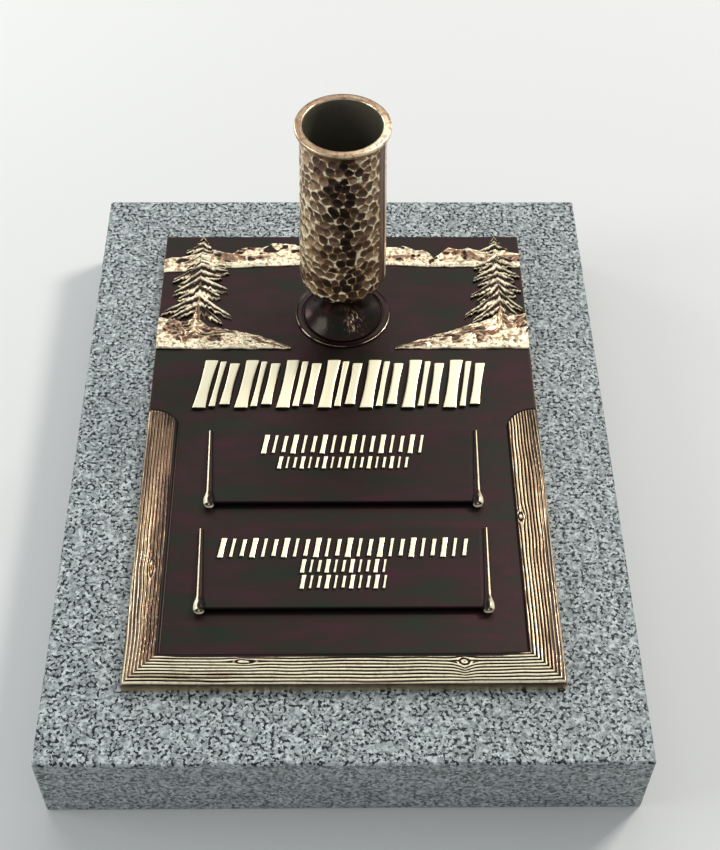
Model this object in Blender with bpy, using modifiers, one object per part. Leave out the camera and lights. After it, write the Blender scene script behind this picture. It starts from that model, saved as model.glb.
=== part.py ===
"""Flat grave marker: a cast bronze plate on a granite base, with two raised name scrolls and a flower vase.

Metres, +Z up. The far end, where the vase stands, is at +Y. The origin is the centre of the granite's underside.
The headline and the rows on the scrolls are plain leaning strokes, not letters.
"""

import math

import bmesh
import bpy
import numpy as np
from mathutils import Matrix

# Touching pieces keep this gap
FIT_GAP = 0.0003

# Points closer than this are welded
WELD = 0.00001

# Granite base
GRANITE_BORDER = 0.0825
GRANITE_THICK = 0.102
GRANITE_ARRIS = 0.002

# Bronze plate
PLATE_WIDTH = 0.457
PLATE_LENGTH = 0.660
PLATE_THICK = 0.0127
PLATE_ARRIS = 0.0008
RELIEF_SINK = 0.002
RELIEF_INSET = 0.0015

# Wood-grain frame along the near end and up both sides
RAIL_WIDTH = 0.0375
RAIL_RISE = 0.0050
RAIL_EDGE_RISE = 0.0016
RAIL_RIDGES = 7
RIDGE_DEPTH = 0.0011
RAIL_START = 0.093
RAIL_END_CURVE = 0.031
GRAIN_WAVE = 0.0016
GRAIN_WAVE_LENGTH = 0.145
GRAIN_SWELL = 0.0006
SIDE_STATIONS = 8
NEAR_STATIONS = 12

# Landscape across the far end
SKY_STRIP = 0.004
LANDSCAPE_DEPTH = 0.195
MOUNTAIN_RISE = 0.0045
ROCK_RISE = 0.0009
TREE_RISE = 0.0062
TWIG_RISE = 0.0022
TOP_BOUGH_WIDTH = 0.0150
BOUGH_WIDTH_STEP = 0.0016
BOUGH_BOW = 0.0025
TRUNK_WIDTH = 0.0096
TRUNK_RISE = 0.0064
MOUND_RISE = 0.0050

# Headline strokes, cast with the plate
HEADLINE_HEIGHT = 0.074
HEADLINE_SIDE = 0.056
HEADLINE_RISE = 0.004
HEADLINE_CELLS = 7
STROKE_LEAN = 0.16
HEADLINE_FLARE = 0.25

# Name scrolls, bolted on from behind
SCROLL_DEPTH = 0.106
SCROLL_UPPER_SIDE = 0.0350
SCROLL_LOWER_SIDE = 0.0320
SCROLL_FAR_RISE = 0.0024
SCROLL_NEAR_RISE = 0.0080
ROLL_FAR_RADIUS = 0.0026
ROLL_NEAR_RADIUS = 0.0044
ROLL_TIP = 0.0012
CURL_RADIUS = 0.0064
CURL_OVERHANG = 0.0035
STROKE_RISE = 0.0020
STROKE_ROOT = 0.0016
STROKE_PITCH = 0.0115
SMALL_ROW = 0.020
SMALL_PITCH = 0.0086

# Spare lengths between landscape, headline, scroll, scroll and frame, as weights
FIELD_GAPS = (20, 35, 32, 49)

# Vase and the ring that it stands in
VASE_FROM_FAR_EDGE = 0.138
VASE_HEIGHT = 0.298
VASE_RADIUS = 0.0500
VASE_BELLY = 0.0016
VASE_WALL = 0.0038
FLOOR_DISH = 0.002
RIM_RADIUS = 0.0540
RIM_THICK = 0.0080
RIM_ROUND = 0.0015
MOUTH_RADIUS = 0.0442
NECK_RADIUS = 0.0230
NECK_HEIGHT = 0.046
NECK_FLARE = 0.004
BOWL_HEIGHT = 0.058
BOWL_ROUND = 0.085
BOWL_DRAW_IN = 0.46
FOOT_RADIUS = 0.0495
FOOT_THICK = 0.0030
FOOT_ROUND = 0.0008
VASE_CELLS = 24
CELL_PITCH = 0.0112
CELL_DEPTH = 0.0014
SEAM_TURN = math.radians(-18)
SEAM_WIDTH = 0.022
RING_CLEARANCE = 0.0012
RING_WIDTH = 0.0083
RING_RISE = 0.0026

PLATE_TOP = GRANITE_THICK + FIT_GAP + PLATE_THICK
ON_PLATE = PLATE_TOP + FIT_GAP
HALF_WIDTH = PLATE_WIDTH / 2
HALF_LENGTH = PLATE_LENGTH / 2
LAND_FAR = HALF_LENGTH - SKY_STRIP
LAND_NEAR = LAND_FAR - LANDSCAPE_DEPTH
FIELD_NEAR = -HALF_LENGTH + RAIL_WIDTH
FIELD_SPARE = LAND_NEAR - FIELD_NEAR - HEADLINE_HEIGHT - 2 * SCROLL_DEPTH

# How mountains and mounds rise from their near edge to their crest, as shares of their full rise
SLOPE_SHARES = (0.0, 0.25, 0.5, 0.75, 1.0)
SLOPE_LEVELS = (0.0, 0.10, 0.45, 0.88, 1.0)
MOUNTAIN_RISES = (0.36, 0.53, 0.67, 1.0, 0.27)
MOUND_SHARES = (0.0, 0.33, 0.67, 1.0)
MOUND_RISES = (0.36, 0.84, 1.0, 0.28)

# The crest of the mountains and their shore, as shares of half the width and of the landscape's depth
MOUNTAIN_CREST = (
    (-1.00, 0.79), (-0.91, 0.81), (-0.80, 0.85), (-0.72, 0.88), (-0.67, 0.86), (-0.62, 0.84),
    (-0.58, 0.90), (-0.45, 0.91), (-0.39, 0.95), (-0.29, 0.94), (-0.15, 0.87), (-0.04, 0.90),
    (0.07, 0.86), (0.18, 0.89), (0.28, 0.91), (0.34, 0.92), (0.41, 0.88), (0.47, 0.88),
    (0.515, 0.80), (0.60, 0.90), (0.67, 0.88), (0.71, 0.90), (0.79, 0.86), (0.90, 0.87), (1.00, 0.84),
)
MOUNTAIN_SHORE = ((-1.0, 0.68), (-0.63, 0.72), (-0.25, 0.745), (0.25, 0.745), (0.60, 0.725), (1.0, 0.72))

# The ground at each side: its crest from the plate's side to its point, with the same shares
MOUND_LEFT = ((-1.00, 0.28), (-0.86, 0.24), (-0.80, 0.29), (-0.73, 0.20), (-0.46, 0.12), (-0.28, 0.015))
MOUND_RIGHT = ((1.00, 0.31), (0.90, 0.29), (0.86, 0.33), (0.81, 0.27), (0.59, 0.16), (0.28, 0.015))

# Pines: the trunk's place, then each bough's height on it and the places of its left and right tips
PINE_LEFT = (
    -0.79,
    (
        (0.93, (-0.88, 0.87), (-0.71, 0.88)),
        (0.84, (-0.89, 0.75), (-0.61, 0.77)),
        (0.74, (-0.94, 0.60), (-0.64, 0.68)),
        (0.62, (-0.93, 0.49), (-0.64, 0.52)),
        (0.47, (-0.985, 0.31), (-0.61, 0.28)),
    ),
)
PINE_RIGHT = (
    0.865,
    (
        (0.92, (0.76, 0.86), (0.935, 0.88)),
        (0.82, (0.74, 0.72), (0.975, 0.78)),
        (0.72, (0.73, 0.61), (0.985, 0.64)),
        (0.61, (0.71, 0.46), (0.985, 0.51)),
        (0.49, (0.67, 0.29), (0.985, 0.34)),
    ),
)
PINE_TIP = 0.995
PINE_FOOT = 0.25

# Strokes in a cell of the headline: place and width as shares of the cell, and share of the full height
HEADLINE_STROKES = ((0.17, 0.25, 1.0), (0.47, 0.12, 0.94), (0.76, 0.19, 0.86))

# Rows of strokes on a scroll: distance from its far edge, height, and side margin
UPPER_ROWS = ((0.008, 0.027, 0.061), (0.041, 0.017, 0.080))
LOWER_ROWS = ((0.015, 0.025, 0.021), (0.044, 0.017, 0.111), (0.065, 0.017, 0.111))


def clear_scene():
    for thing in list(bpy.data.objects):
        bpy.data.objects.remove(thing, do_unlink=True)


def new_collection(name):
    group = bpy.data.collections.new(name)
    bpy.context.scene.collection.children.link(group)
    return group


def new_object(name, mesh, group):
    thing = bpy.data.objects.new(name, mesh)
    group.objects.link(thing)
    return thing


def helper(thing):
    """A body that only joins another one: not rendered, drawn as wire."""
    thing.hide_render = True
    thing.display_type = "WIRE"
    return thing


def finish_mesh(bm, name):
    bmesh.ops.recalc_face_normals(bm, faces=bm.faces)
    mesh = bpy.data.meshes.new(name)
    bm.to_mesh(mesh)
    bm.free()
    return mesh


def plain_material(name, colour, roughness, metallic):
    material = bpy.data.materials.new(name)
    material.use_nodes = True
    shader = material.node_tree.nodes["Principled BSDF"]
    shader.inputs["Base Color"].default_value = (*colour, 1.0)
    shader.inputs["Roughness"].default_value = roughness
    shader.inputs["Metallic"].default_value = metallic
    return material


def add_patch(bm, columns, rows, place, base):
    """A sheet of cells placed by a rule of two shares, closed by straight walls and a flat underside."""
    made = bmesh.ops.create_grid(bm, x_segments=columns, y_segments=rows, size=0.5)
    shares = np.array([vert.co[:2] for vert in made["verts"]]) + 0.5
    points = np.stack(place(shares[:, 0], shares[:, 1]), axis=1)
    for vert, point in zip(made["verts"], points):
        vert.co = point
    sheet = list({face for vert in made["verts"] for face in vert.link_faces})
    lower = bmesh.ops.extrude_face_region(bm, geom=sheet, use_keep_orig=True)
    for part in lower["geom"]:
        if isinstance(part, bmesh.types.BMVert):
            part.co.z = base


def box(name, width, length, height, centre_z, arris, group):
    """A block with small bevelled edges."""
    bm = bmesh.new()
    bmesh.ops.create_cube(bm, size=1.0)
    bmesh.ops.scale(bm, vec=(width, length, height), verts=bm.verts)
    bmesh.ops.translate(bm, vec=(0, 0, centre_z), verts=bm.verts)
    thing = new_object(name, finish_mesh(bm, name), group)
    bevel = thing.modifiers.new("arris", "BEVEL")
    bevel.width = arris
    bevel.segments = 1
    return thing


def turned(name, profile, steps, group):
    """A profile of radius and height pairs turned about Z, returned as a plain mesh object."""
    line = bpy.data.meshes.new(name + "_profile")
    points = [(radius, 0.0, height) for radius, height in profile]
    line.from_pydata(points, [(i, i + 1) for i in range(len(points) - 1)], [])
    thing = new_object(name, line, group)
    screw = thing.modifiers.new("turn", "SCREW")
    screw.steps = steps
    screw.render_steps = steps
    screw.use_merge_vertices = True
    screw.merge_threshold = WELD
    bpy.context.view_layer.update()
    solid = bpy.data.meshes.new_from_object(thing.evaluated_get(bpy.context.evaluated_depsgraph_get()))
    thing.modifiers.clear()
    thing.data = solid
    bpy.data.meshes.remove(line)
    return thing


def follow(points, across):
    """Reads a broken line, given as pairs, at the places across."""
    pairs = sorted(points)
    return np.interp(across, [pair[0] for pair in pairs], [pair[1] for pair in pairs])


def land_point(across, deep):
    """Turns the landscape's two shares into x and y."""
    reach = HALF_WIDTH - RELIEF_INSET
    return across * reach, LAND_NEAR + deep * LANDSCAPE_DEPTH


def grain_height(depth, along):
    """The frame's height at a depth from the outer edge: a crown with ridges that run along it."""
    share = depth / RAIL_WIDTH
    crown = RAIL_EDGE_RISE + (RAIL_RISE - RAIL_EDGE_RISE) * np.sin(np.pi * np.clip(share, 0, 1)) ** 0.6
    swell = GRAIN_SWELL * np.sin(2 * np.pi * along / (0.7 * GRAIN_WAVE_LENGTH))
    return crown + swell * np.sin(np.pi * share)


def frame_sheet(across, along):
    """The place rule of the whole frame: down the left rail, along the near one and up the right one.

    across runs from the plate's edge to the field, along from the left end to the right end. The rails
    meet on their mitres, where a point is as far from one edge as from the other.
    """
    depth = RELIEF_INSET + across * (RAIL_WIDTH - RELIEF_INSET)
    station = along * (2 * SIDE_STATIONS + NEAR_STATIONS)
    end_outer = LAND_NEAR - RAIL_START
    round_end = np.sqrt(np.clip(1 - (depth / RAIL_WIDTH) ** 2, 0, 1))
    top = end_outer - RAIL_END_CURVE * (1 - round_end)
    low = -HALF_LENGTH + depth
    left = np.clip(station / SIDE_STATIONS, 0, 1)
    near = np.clip((station - SIDE_STATIONS) / NEAR_STATIONS, 0, 1)
    right = np.clip((station - SIDE_STATIONS - NEAR_STATIONS) / SIDE_STATIONS, 0, 1)
    side_y = top + (left - right) * (low - top)
    edge_x = (-HALF_WIDTH + depth) * (1 - near) + (HALF_WIDTH - depth) * near
    on_side = (near <= 0) | (near >= 1)
    travel = np.where(on_side, side_y, edge_x)
    bend = GRAIN_WAVE * np.sin(2 * np.pi * travel / GRAIN_WAVE_LENGTH) * np.sin(np.pi * across)
    corner = np.where(on_side, side_y - low, HALF_WIDTH - depth - np.abs(edge_x))
    bend = bend * np.clip(corner / RAIL_WIDTH, 0, 1)
    x = edge_x + np.where(on_side, bend, 0)
    y = side_y + np.where(on_side, 0, bend)
    ridge = np.round(across * 2 * RAIL_RIDGES) % 2 == 0
    groove = RIDGE_DEPTH * ridge * (across > 0.01) * (across < 0.99)
    return x, y, PLATE_TOP + grain_height(depth, travel) - groove


def frame_rails(group):
    """The wood-grain frame on three sides as one closed body."""
    bm = bmesh.new()
    add_patch(bm, 2 * RAIL_RIDGES, 2 * SIDE_STATIONS + NEAR_STATIONS, frame_sheet, PLATE_TOP - RELIEF_SINK)
    return helper(new_object("frame_rails", finish_mesh(bm, "frame_rails"), group))


def mountain_band(group):
    """The far shore: a step up at the water, broken slopes, and a crest that drops behind."""

    def place(across, deep):
        share = 2 * across - 1
        crest = follow(MOUNTAIN_CREST, share)
        shore = follow(MOUNTAIN_SHORE, share)
        level = np.interp(deep, SLOPE_SHARES, SLOPE_LEVELS)
        x, y = land_point(share, shore + (crest - shore) * level)
        broken = ROCK_RISE * (np.sin(31 * share + 9 * deep) + 0.67 * np.sin(53 * share - 17 * deep))
        rise = MOUNTAIN_RISE * np.interp(deep, SLOPE_SHARES, MOUNTAIN_RISES)
        inside = (deep > 0.1) & (deep < 0.9)
        return x, y, PLATE_TOP + rise + broken * inside

    bm = bmesh.new()
    add_patch(bm, 50, 4, place, PLATE_TOP - RELIEF_SINK)
    return helper(new_object("mountain_band", finish_mesh(bm, "mountain_band"), group))


def mound(name, crest, group):
    """Rough ground that runs from the plate's side down to a point near the middle."""
    start, end = crest[0][0], crest[-1][0]

    def place(across, deep):
        share = start + (end - start) * across
        x, y = land_point(share, deep * follow(crest, share))
        rough = ROCK_RISE * np.sin(47 * share + 5 * deep) * np.sin(np.pi * deep)
        fall = 1 - 0.55 * across
        rise = MOUND_RISE * np.interp(deep, MOUND_SHARES, MOUND_RISES)
        return x, y, PLATE_TOP + (rise + rough) * fall

    bm = bmesh.new()
    add_patch(bm, 14, 3, place, PLATE_TOP - RELIEF_SINK)
    return helper(new_object(name, finish_mesh(bm, name), group))


def bough(bm, root, tip, width):
    """One drooping bough: a ridge that runs down from the trunk, flat at first, to a thin tip."""
    root_point = np.array(land_point(*root))
    tip_point = np.array(land_point(*tip))

    def place(along, across):
        line = root_point[:, None] * (1 - along) + tip_point[:, None] * along
        bow = BOUGH_BOW * np.sin(np.pi * along)
        half = width * (1.0 - 0.7 * along)
        crown = 1 - np.abs(2 * across - 1)
        rise = TWIG_RISE + (TREE_RISE - TWIG_RISE) * crown * (1 - 0.45 * along)
        return line[0], line[1] + bow + (across - 0.5) * half, PLATE_TOP + rise

    add_patch(bm, 3, 2, place, PLATE_TOP - RELIEF_SINK)


def pine(name, shape, group):
    """A pine with drooping boughs on both sides of a tapering trunk, one body for each bough."""
    trunk, levels = shape
    for number, (height, left, right) in enumerate(levels):
        for side, tip in (("left", left), ("right", right)):
            bm = bmesh.new()
            bough(bm, (trunk, height), tip, TOP_BOUGH_WIDTH + BOUGH_WIDTH_STEP * number)
            label = f"{name}_bough_{number + 1}_{side}"
            helper(new_object(label, finish_mesh(bm, label), group))

    def place(across, along):
        deep = PINE_FOOT + (PINE_TIP - PINE_FOOT) * along
        x, y = land_point(np.full_like(across, trunk), deep)
        half = TRUNK_WIDTH / 2 * (1 - 0.85 * along)
        crown = 1 - np.abs(2 * across - 1)
        rise = TWIG_RISE + (TRUNK_RISE - TWIG_RISE) * crown * (1 - 0.4 * along)
        return x + (2 * across - 1) * half, y, PLATE_TOP + rise

    bm = bmesh.new()
    add_patch(bm, 2, 4, place, PLATE_TOP - RELIEF_SINK)
    helper(new_object(name + "_trunk", finish_mesh(bm, name + "_trunk"), group))


def add_stroke(bm, x, y, width, height, top, base, flare):
    """One raised stroke that leans to the right, a little wider at its ends when flare is over 0."""

    def place(across, along):
        end = np.abs(2 * along - 1)
        spread = width * (1 + flare * end**2)
        lean = STROKE_LEAN * (along - 0.5) * height
        return x + lean + (across - 0.5) * spread, y + (along - 0.5) * height, top + 0 * across

    add_patch(bm, 1, 3 if flare else 1, place, base)


def headline_strokes(group):
    """Cells of a thick stroke, a thin one and a shorter one. All lean one way, so none makes a letter."""
    length = PLATE_WIDTH - 2 * HEADLINE_SIDE
    pitch = length / HEADLINE_CELLS
    gap = FIELD_SPARE * FIELD_GAPS[0] / sum(FIELD_GAPS)
    middle = LAND_NEAR - gap - HEADLINE_HEIGHT / 2
    top = PLATE_TOP + HEADLINE_RISE
    base = PLATE_TOP - RELIEF_SINK
    bm = bmesh.new()
    for cell in range(HEADLINE_CELLS):
        for place, width, height in HEADLINE_STROKES:
            x = -length / 2 + (cell + place) * pitch
            add_stroke(bm, x, middle, width * pitch, height * HEADLINE_HEIGHT, top, base, HEADLINE_FLARE)
    return helper(new_object("headline_strokes", finish_mesh(bm, "headline_strokes"), group))


def unite(thing, group, name):
    union = thing.modifiers.new(name, "BOOLEAN")
    union.operation = "UNION"
    union.operand_type = "COLLECTION"
    union.collection = group
    union.solver = "EXACT"


def granite_base(group):
    width = PLATE_WIDTH + 2 * GRANITE_BORDER
    length = PLATE_LENGTH + 2 * GRANITE_BORDER
    thing = box("granite_base", width, length, GRANITE_THICK, GRANITE_THICK / 2, GRANITE_ARRIS, group)
    thing.data.materials.append(plain_material("grey_granite", (0.46, 0.49, 0.50), 0.35, 0.0))
    return thing


def bronze_plate(group):
    """The plate with everything that is cast with it."""
    centre = PLATE_TOP - PLATE_THICK / 2
    thing = box("bronze_plate", PLATE_WIDTH, PLATE_LENGTH, PLATE_THICK, centre, PLATE_ARRIS, group)
    thing.data.materials.append(plain_material("dark_bronze", (0.045, 0.026, 0.022), 0.42, 1.0))
    relief = new_collection("plate_relief")
    frame_rails(relief)
    mountain_band(relief)
    mound("mound_left", MOUND_LEFT, relief)
    mound("mound_right", MOUND_RIGHT, relief)
    pine("pine_left", PINE_LEFT, relief)
    pine("pine_right", PINE_RIGHT, relief)
    headline_strokes(relief)
    unite(thing, relief, "relief")
    return thing


def roll_mesh(name, length, group):
    """A side roll that grows towards the near end and closes there in a round curl."""
    tip = length + CURL_OVERHANG
    profile = [
        (0.0, 0.0),
        (ROLL_FAR_RADIUS, ROLL_TIP),
        (ROLL_NEAR_RADIUS, length - 2.6 * CURL_RADIUS),
        (CURL_RADIUS, length - 1.1 * CURL_RADIUS),
        (CURL_RADIUS, length + 0.1 * CURL_RADIUS),
        (0.62 * CURL_RADIUS, tip),
        (0.0, tip),
    ]
    return turned(name, [(radius, -down) for radius, down in profile], 12, group)


def name_scroll(name, side_margin, far_y, rows, group):
    """A raised panel that thickens towards its near edge, with a roll along each side and rows of strokes.

    The rolls lie flush with the plate below and with the scroll's outer sides.
    """
    width = PLATE_WIDTH - 2 * RAIL_WIDTH - 2 * side_margin
    half = width / 2 - CURL_RADIUS
    spread = CURL_RADIUS - ROLL_FAR_RADIUS
    helpers = new_collection(name + "_helpers")

    def panel(across, along):
        rise = SCROLL_NEAR_RISE + (SCROLL_FAR_RISE - SCROLL_NEAR_RISE) * along
        return (2 * across - 1) * (half + spread * along), far_y - SCROLL_DEPTH * (1 - along), PLATE_TOP + rise

    bm = bmesh.new()
    add_patch(bm, 1, 1, panel, ON_PLATE)
    thing = new_object(name, finish_mesh(bm, name), group)
    for side, label in ((-1, "left"), (1, "right")):
        roll = helper(roll_mesh(f"{name}_roll_{label}", SCROLL_DEPTH, helpers))
        slope = math.atan2(spread, SCROLL_DEPTH)
        lie = Matrix.Rotation(-math.pi / 2 - slope, 4, "X")
        swing = Matrix.Rotation(-side * slope, 4, "Z")
        place = Matrix.Translation((side * (half + spread), far_y, ON_PLATE + ROLL_FAR_RADIUS))
        roll.data.transform(place @ swing @ lie)
    strokes = bmesh.new()
    for from_far, height, margin in rows:
        length = width - 2 * margin
        count = max(2, round(length / (SMALL_PITCH if height < SMALL_ROW else STROKE_PITCH)))
        pitch = length / count
        y = far_y - from_far - height / 2
        for number in range(count):
            x = -length / 2 + (number + 0.5) * pitch
            thick = (0.42, 0.24, 0.30)[number % 3]
            drop = (0.0, 0.06, 0.14)[number % 3]
            share = (far_y - y) / SCROLL_DEPTH
            face = PLATE_TOP + SCROLL_FAR_RISE + (SCROLL_NEAR_RISE - SCROLL_FAR_RISE) * share
            top = face + STROKE_RISE
            add_stroke(strokes, x, y, thick * pitch, height * (1 - drop), top, face - STROKE_ROOT, 0)
    helper(new_object(name + "_strokes", finish_mesh(strokes, name + "_strokes"), helpers))
    unite(thing, helpers, "rolls_and_strokes")
    thing.data.materials.append(plain_material(name + "_bronze", (0.055, 0.032, 0.025), 0.40, 1.0))
    return thing


def vase_ring(group):
    """A low collar with a bright outer bead, in which the vase's foot stands."""
    inner = FOOT_RADIUS + RING_CLEARANCE
    outer = inner + RING_WIDTH
    profile = [
        (inner, 0.0),
        (inner, 0.45 * RING_RISE),
        (outer - 0.30 * RING_WIDTH, 0.55 * RING_RISE),
        (outer - 0.14 * RING_WIDTH, RING_RISE),
        (outer, 0.6 * RING_RISE),
        (outer, 0.0),
        (inner, 0.0),
    ]
    thing = turned("vase_ring", profile, 48, group)
    move = Matrix.Translation((0, HALF_LENGTH - VASE_FROM_FAR_EDGE, ON_PLATE))
    thing.data.transform(move)
    bm = bmesh.new()
    bm.from_mesh(thing.data)
    bmesh.ops.remove_doubles(bm, verts=bm.verts, dist=WELD)
    bmesh.ops.recalc_face_normals(bm, faces=bm.faces)
    bm.to_mesh(thing.data)
    bm.free()
    thing.data.materials.append(plain_material("ring_bronze", (0.09, 0.06, 0.04), 0.35, 1.0))
    thing.data.shade_smooth()
    thing.data.set_sharp_from_angle(angle=math.radians(40))
    return thing


def body_radius(height):
    """The vase's outer radius between its bowl and the rim: a slow swell that is widest a quarter of the way up."""
    share = (height - BOWL_HEIGHT) / (VASE_HEIGHT - RIM_THICK - BOWL_HEIGHT)
    swell = VASE_BELLY * math.cos(math.pi * min(1.0, max(0.0, share - 0.1)))
    round_off = max(0.0, 1 - share / BOWL_ROUND)
    return VASE_RADIUS + swell - BOWL_DRAW_IN * VASE_RADIUS * (1 - math.sqrt(max(0.0, 1 - round_off**2)))


def vase_profile():
    """Inside from the floor up, over the rim, down the hammered wall, and out and under the foot."""
    rim_low = VASE_HEIGHT - RIM_THICK
    floor = BOWL_HEIGHT + VASE_WALL
    inside = [(0.0, floor), (0.55 * VASE_RADIUS, floor + FLOOR_DISH)]
    for share in (0.06, 0.12, 0.35, 0.7):
        height = BOWL_HEIGHT + share * (rim_low - BOWL_HEIGHT)
        inside.append((body_radius(height) - VASE_WALL, max(height, floor + 2 * FLOOR_DISH)))
    inside.append((MOUTH_RADIUS, VASE_HEIGHT - RIM_ROUND))
    rim = [
        (MOUTH_RADIUS + RIM_ROUND, VASE_HEIGHT),
        (RIM_RADIUS - 1.5 * RIM_ROUND, VASE_HEIGHT),
        (RIM_RADIUS, VASE_HEIGHT - 0.35 * RIM_THICK),
        (RIM_RADIUS - RIM_ROUND, VASE_HEIGHT - 0.75 * RIM_THICK),
    ]
    count = max(4, round((rim_low - BOWL_HEIGHT) / CELL_PITCH))
    pitch = (rim_low - BOWL_HEIGHT) / count
    wall = [(body_radius(rim_low - row * pitch), rim_low - row * pitch) for row in range(count + 1)]
    foot = [
        (NECK_RADIUS, NECK_HEIGHT),
        (NECK_RADIUS + NECK_FLARE, 0.55 * NECK_HEIGHT),
        (0.5 * (NECK_RADIUS + FOOT_RADIUS), 0.26 * NECK_HEIGHT),
        (FOOT_RADIUS - 2.5 * FOOT_ROUND, FOOT_THICK),
        (FOOT_RADIUS, 0.5 * FOOT_THICK),
        (FOOT_RADIUS - FOOT_ROUND, 0.0),
        (FOOT_RADIUS - VASE_WALL, 0.0),
        (NECK_RADIUS + 0.5 * NECK_FLARE, 0.16 * NECK_HEIGHT),
        (NECK_RADIUS - VASE_WALL, 0.5 * NECK_HEIGHT),
        (0.0, NECK_HEIGHT - VASE_WALL),
    ]
    return inside + rim + wall + foot, rim_low, pitch, count


def vase(group):
    """The turned vase with its wall beaten into rows of hollows, every other point set in."""
    profile, rim_low, pitch, count = vase_profile()
    columns = 2 * VASE_CELLS
    thing = turned("vase", profile, columns, group)
    turn = 2 * math.pi / columns
    bm = bmesh.new()
    bm.from_mesh(thing.data)
    for vert in bm.verts:
        radius = math.hypot(vert.co.x, vert.co.y)
        row = round((rim_low - vert.co.z) / pitch)
        outside = radius > body_radius(rim_low - row * pitch) - 0.5 * VASE_WALL
        on_row = abs(rim_low - row * pitch - vert.co.z) < 0.1 * pitch
        if not (1 <= row < count and outside and on_row):
            continue
        angle = math.atan2(vert.co.y, vert.co.x)
        seam = abs((angle - SEAM_TURN + math.pi) % (2 * math.pi) - math.pi) * radius < SEAM_WIDTH / 2
        if seam or (round(angle / turn) + row) % 2:
            continue
        shrink = (radius - CELL_DEPTH) / radius
        vert.co.x *= shrink
        vert.co.y *= shrink
    bmesh.ops.translate(bm, vec=(0, HALF_LENGTH - VASE_FROM_FAR_EDGE, ON_PLATE), verts=bm.verts)
    bmesh.ops.recalc_face_normals(bm, faces=bm.faces)
    bm.to_mesh(thing.data)
    bm.free()
    thing.data.materials.append(plain_material("vase_bronze", (0.16, 0.10, 0.06), 0.38, 1.0))
    thing.data.shade_smooth()
    thing.data.set_sharp_from_angle(angle=math.radians(35))
    return thing


def main():
    clear_scene()
    group = new_collection("flat_grave_marker")
    granite_base(group)
    bronze_plate(group)
    gaps = [FIELD_SPARE * weight / sum(FIELD_GAPS) for weight in FIELD_GAPS]
    upper_far = LAND_NEAR - gaps[0] - HEADLINE_HEIGHT - gaps[1]
    lower_far = upper_far - SCROLL_DEPTH - gaps[2]
    name_scroll("name_scroll_upper", SCROLL_UPPER_SIDE, upper_far, UPPER_ROWS, group)
    name_scroll("name_scroll_lower", SCROLL_LOWER_SIDE, lower_far, LOWER_ROWS, group)
    vase_ring(group)
    vase(group)


main()
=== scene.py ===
"""Looks of the flat grave marker: fine relief, bronze, granite, studio and camera."""
import math

import bpy
import numpy as np
from mathutils import Matrix, Vector


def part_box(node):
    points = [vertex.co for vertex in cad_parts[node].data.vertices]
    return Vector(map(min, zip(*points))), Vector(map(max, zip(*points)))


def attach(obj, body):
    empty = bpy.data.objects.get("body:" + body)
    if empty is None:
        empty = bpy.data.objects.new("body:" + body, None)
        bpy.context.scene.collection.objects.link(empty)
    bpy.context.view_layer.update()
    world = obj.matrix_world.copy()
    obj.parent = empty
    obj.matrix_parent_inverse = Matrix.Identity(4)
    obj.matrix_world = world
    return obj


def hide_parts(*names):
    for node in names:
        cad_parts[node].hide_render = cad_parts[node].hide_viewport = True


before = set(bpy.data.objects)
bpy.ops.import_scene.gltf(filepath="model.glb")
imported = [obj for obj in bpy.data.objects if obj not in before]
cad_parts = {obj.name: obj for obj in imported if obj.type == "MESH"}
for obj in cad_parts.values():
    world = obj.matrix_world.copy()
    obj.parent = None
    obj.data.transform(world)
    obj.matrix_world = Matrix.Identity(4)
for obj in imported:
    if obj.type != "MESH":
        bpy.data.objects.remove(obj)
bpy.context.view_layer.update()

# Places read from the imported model
PLATE_LOW, PLATE_HIGH = (np.array(corner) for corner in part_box("bronze_plate"))
VASE_LOW, VASE_HIGH = (np.array(corner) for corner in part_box("vase"))
RING_LOW, RING_HIGH = (np.array(corner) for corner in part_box("vase_ring"))
GRANITE_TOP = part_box("granite_base")[1][2]

# Sizes of the plate, as the solids have them
FIT_GAP = 0.0003
PLATE_THICK = 0.0127
PLATE_TOP = PLATE_LOW[2] + PLATE_THICK
HALF_WIDTH = PLATE_HIGH[0]
HALF_LENGTH = PLATE_HIGH[1]
SINK = 0.0012
EDGE_INSET = 0.0006
EDGE_DROP = 0.0005
EDGE_ROUND = 0.0012
EDGE_STRIP = 0.003

# Wood-grain frame, with a smooth bevel between the wood and the field
RAIL_WIDTH = 0.0375
RAIL_CROWN = 0.0048
RAIL_EDGE = 0.0014
BEVEL_WIDTH = 0.0045
BEVEL_FOOT = 0.0004
BEVEL_SHARE = 0.62
RAIL_RIDGES = 9
RIDGE_DEPTH = 0.0012
RAIL_START = 0.093
RAIL_END_CURVE = 0.031

# Landscape
SKY_STRIP = 0.004
LAND_DEPTH = 0.195
LAND_NEAR = HALF_LENGTH - SKY_STRIP - LAND_DEPTH

# Headline and rows of strokes
HEADLINE_HEIGHT = 0.074
HEADLINE_SIDE = 0.056
HEADLINE_RISE = 0.004
HEADLINE_CELLS = 7
STROKE_LEAN = 0.16
HEADLINE_FLARE = 0.25
HEADLINE_STROKES = ((0.17, 0.25, 1.0), (0.47, 0.12, 0.94), (0.76, 0.19, 0.86))
STROKE_RISE = 0.0020
STROKE_PITCH = 0.0115
STROKE_FLARE = 0.2
STROKE_SINK = 0.0016
SMALL_ROW = 0.020
SMALL_PITCH = 0.0086
SMALL_STROKES = ((0.42, 1.0), (0.24, 0.94), (0.30, 0.86))
FIELD_GAPS = (20, 35, 32, 49)

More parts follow.
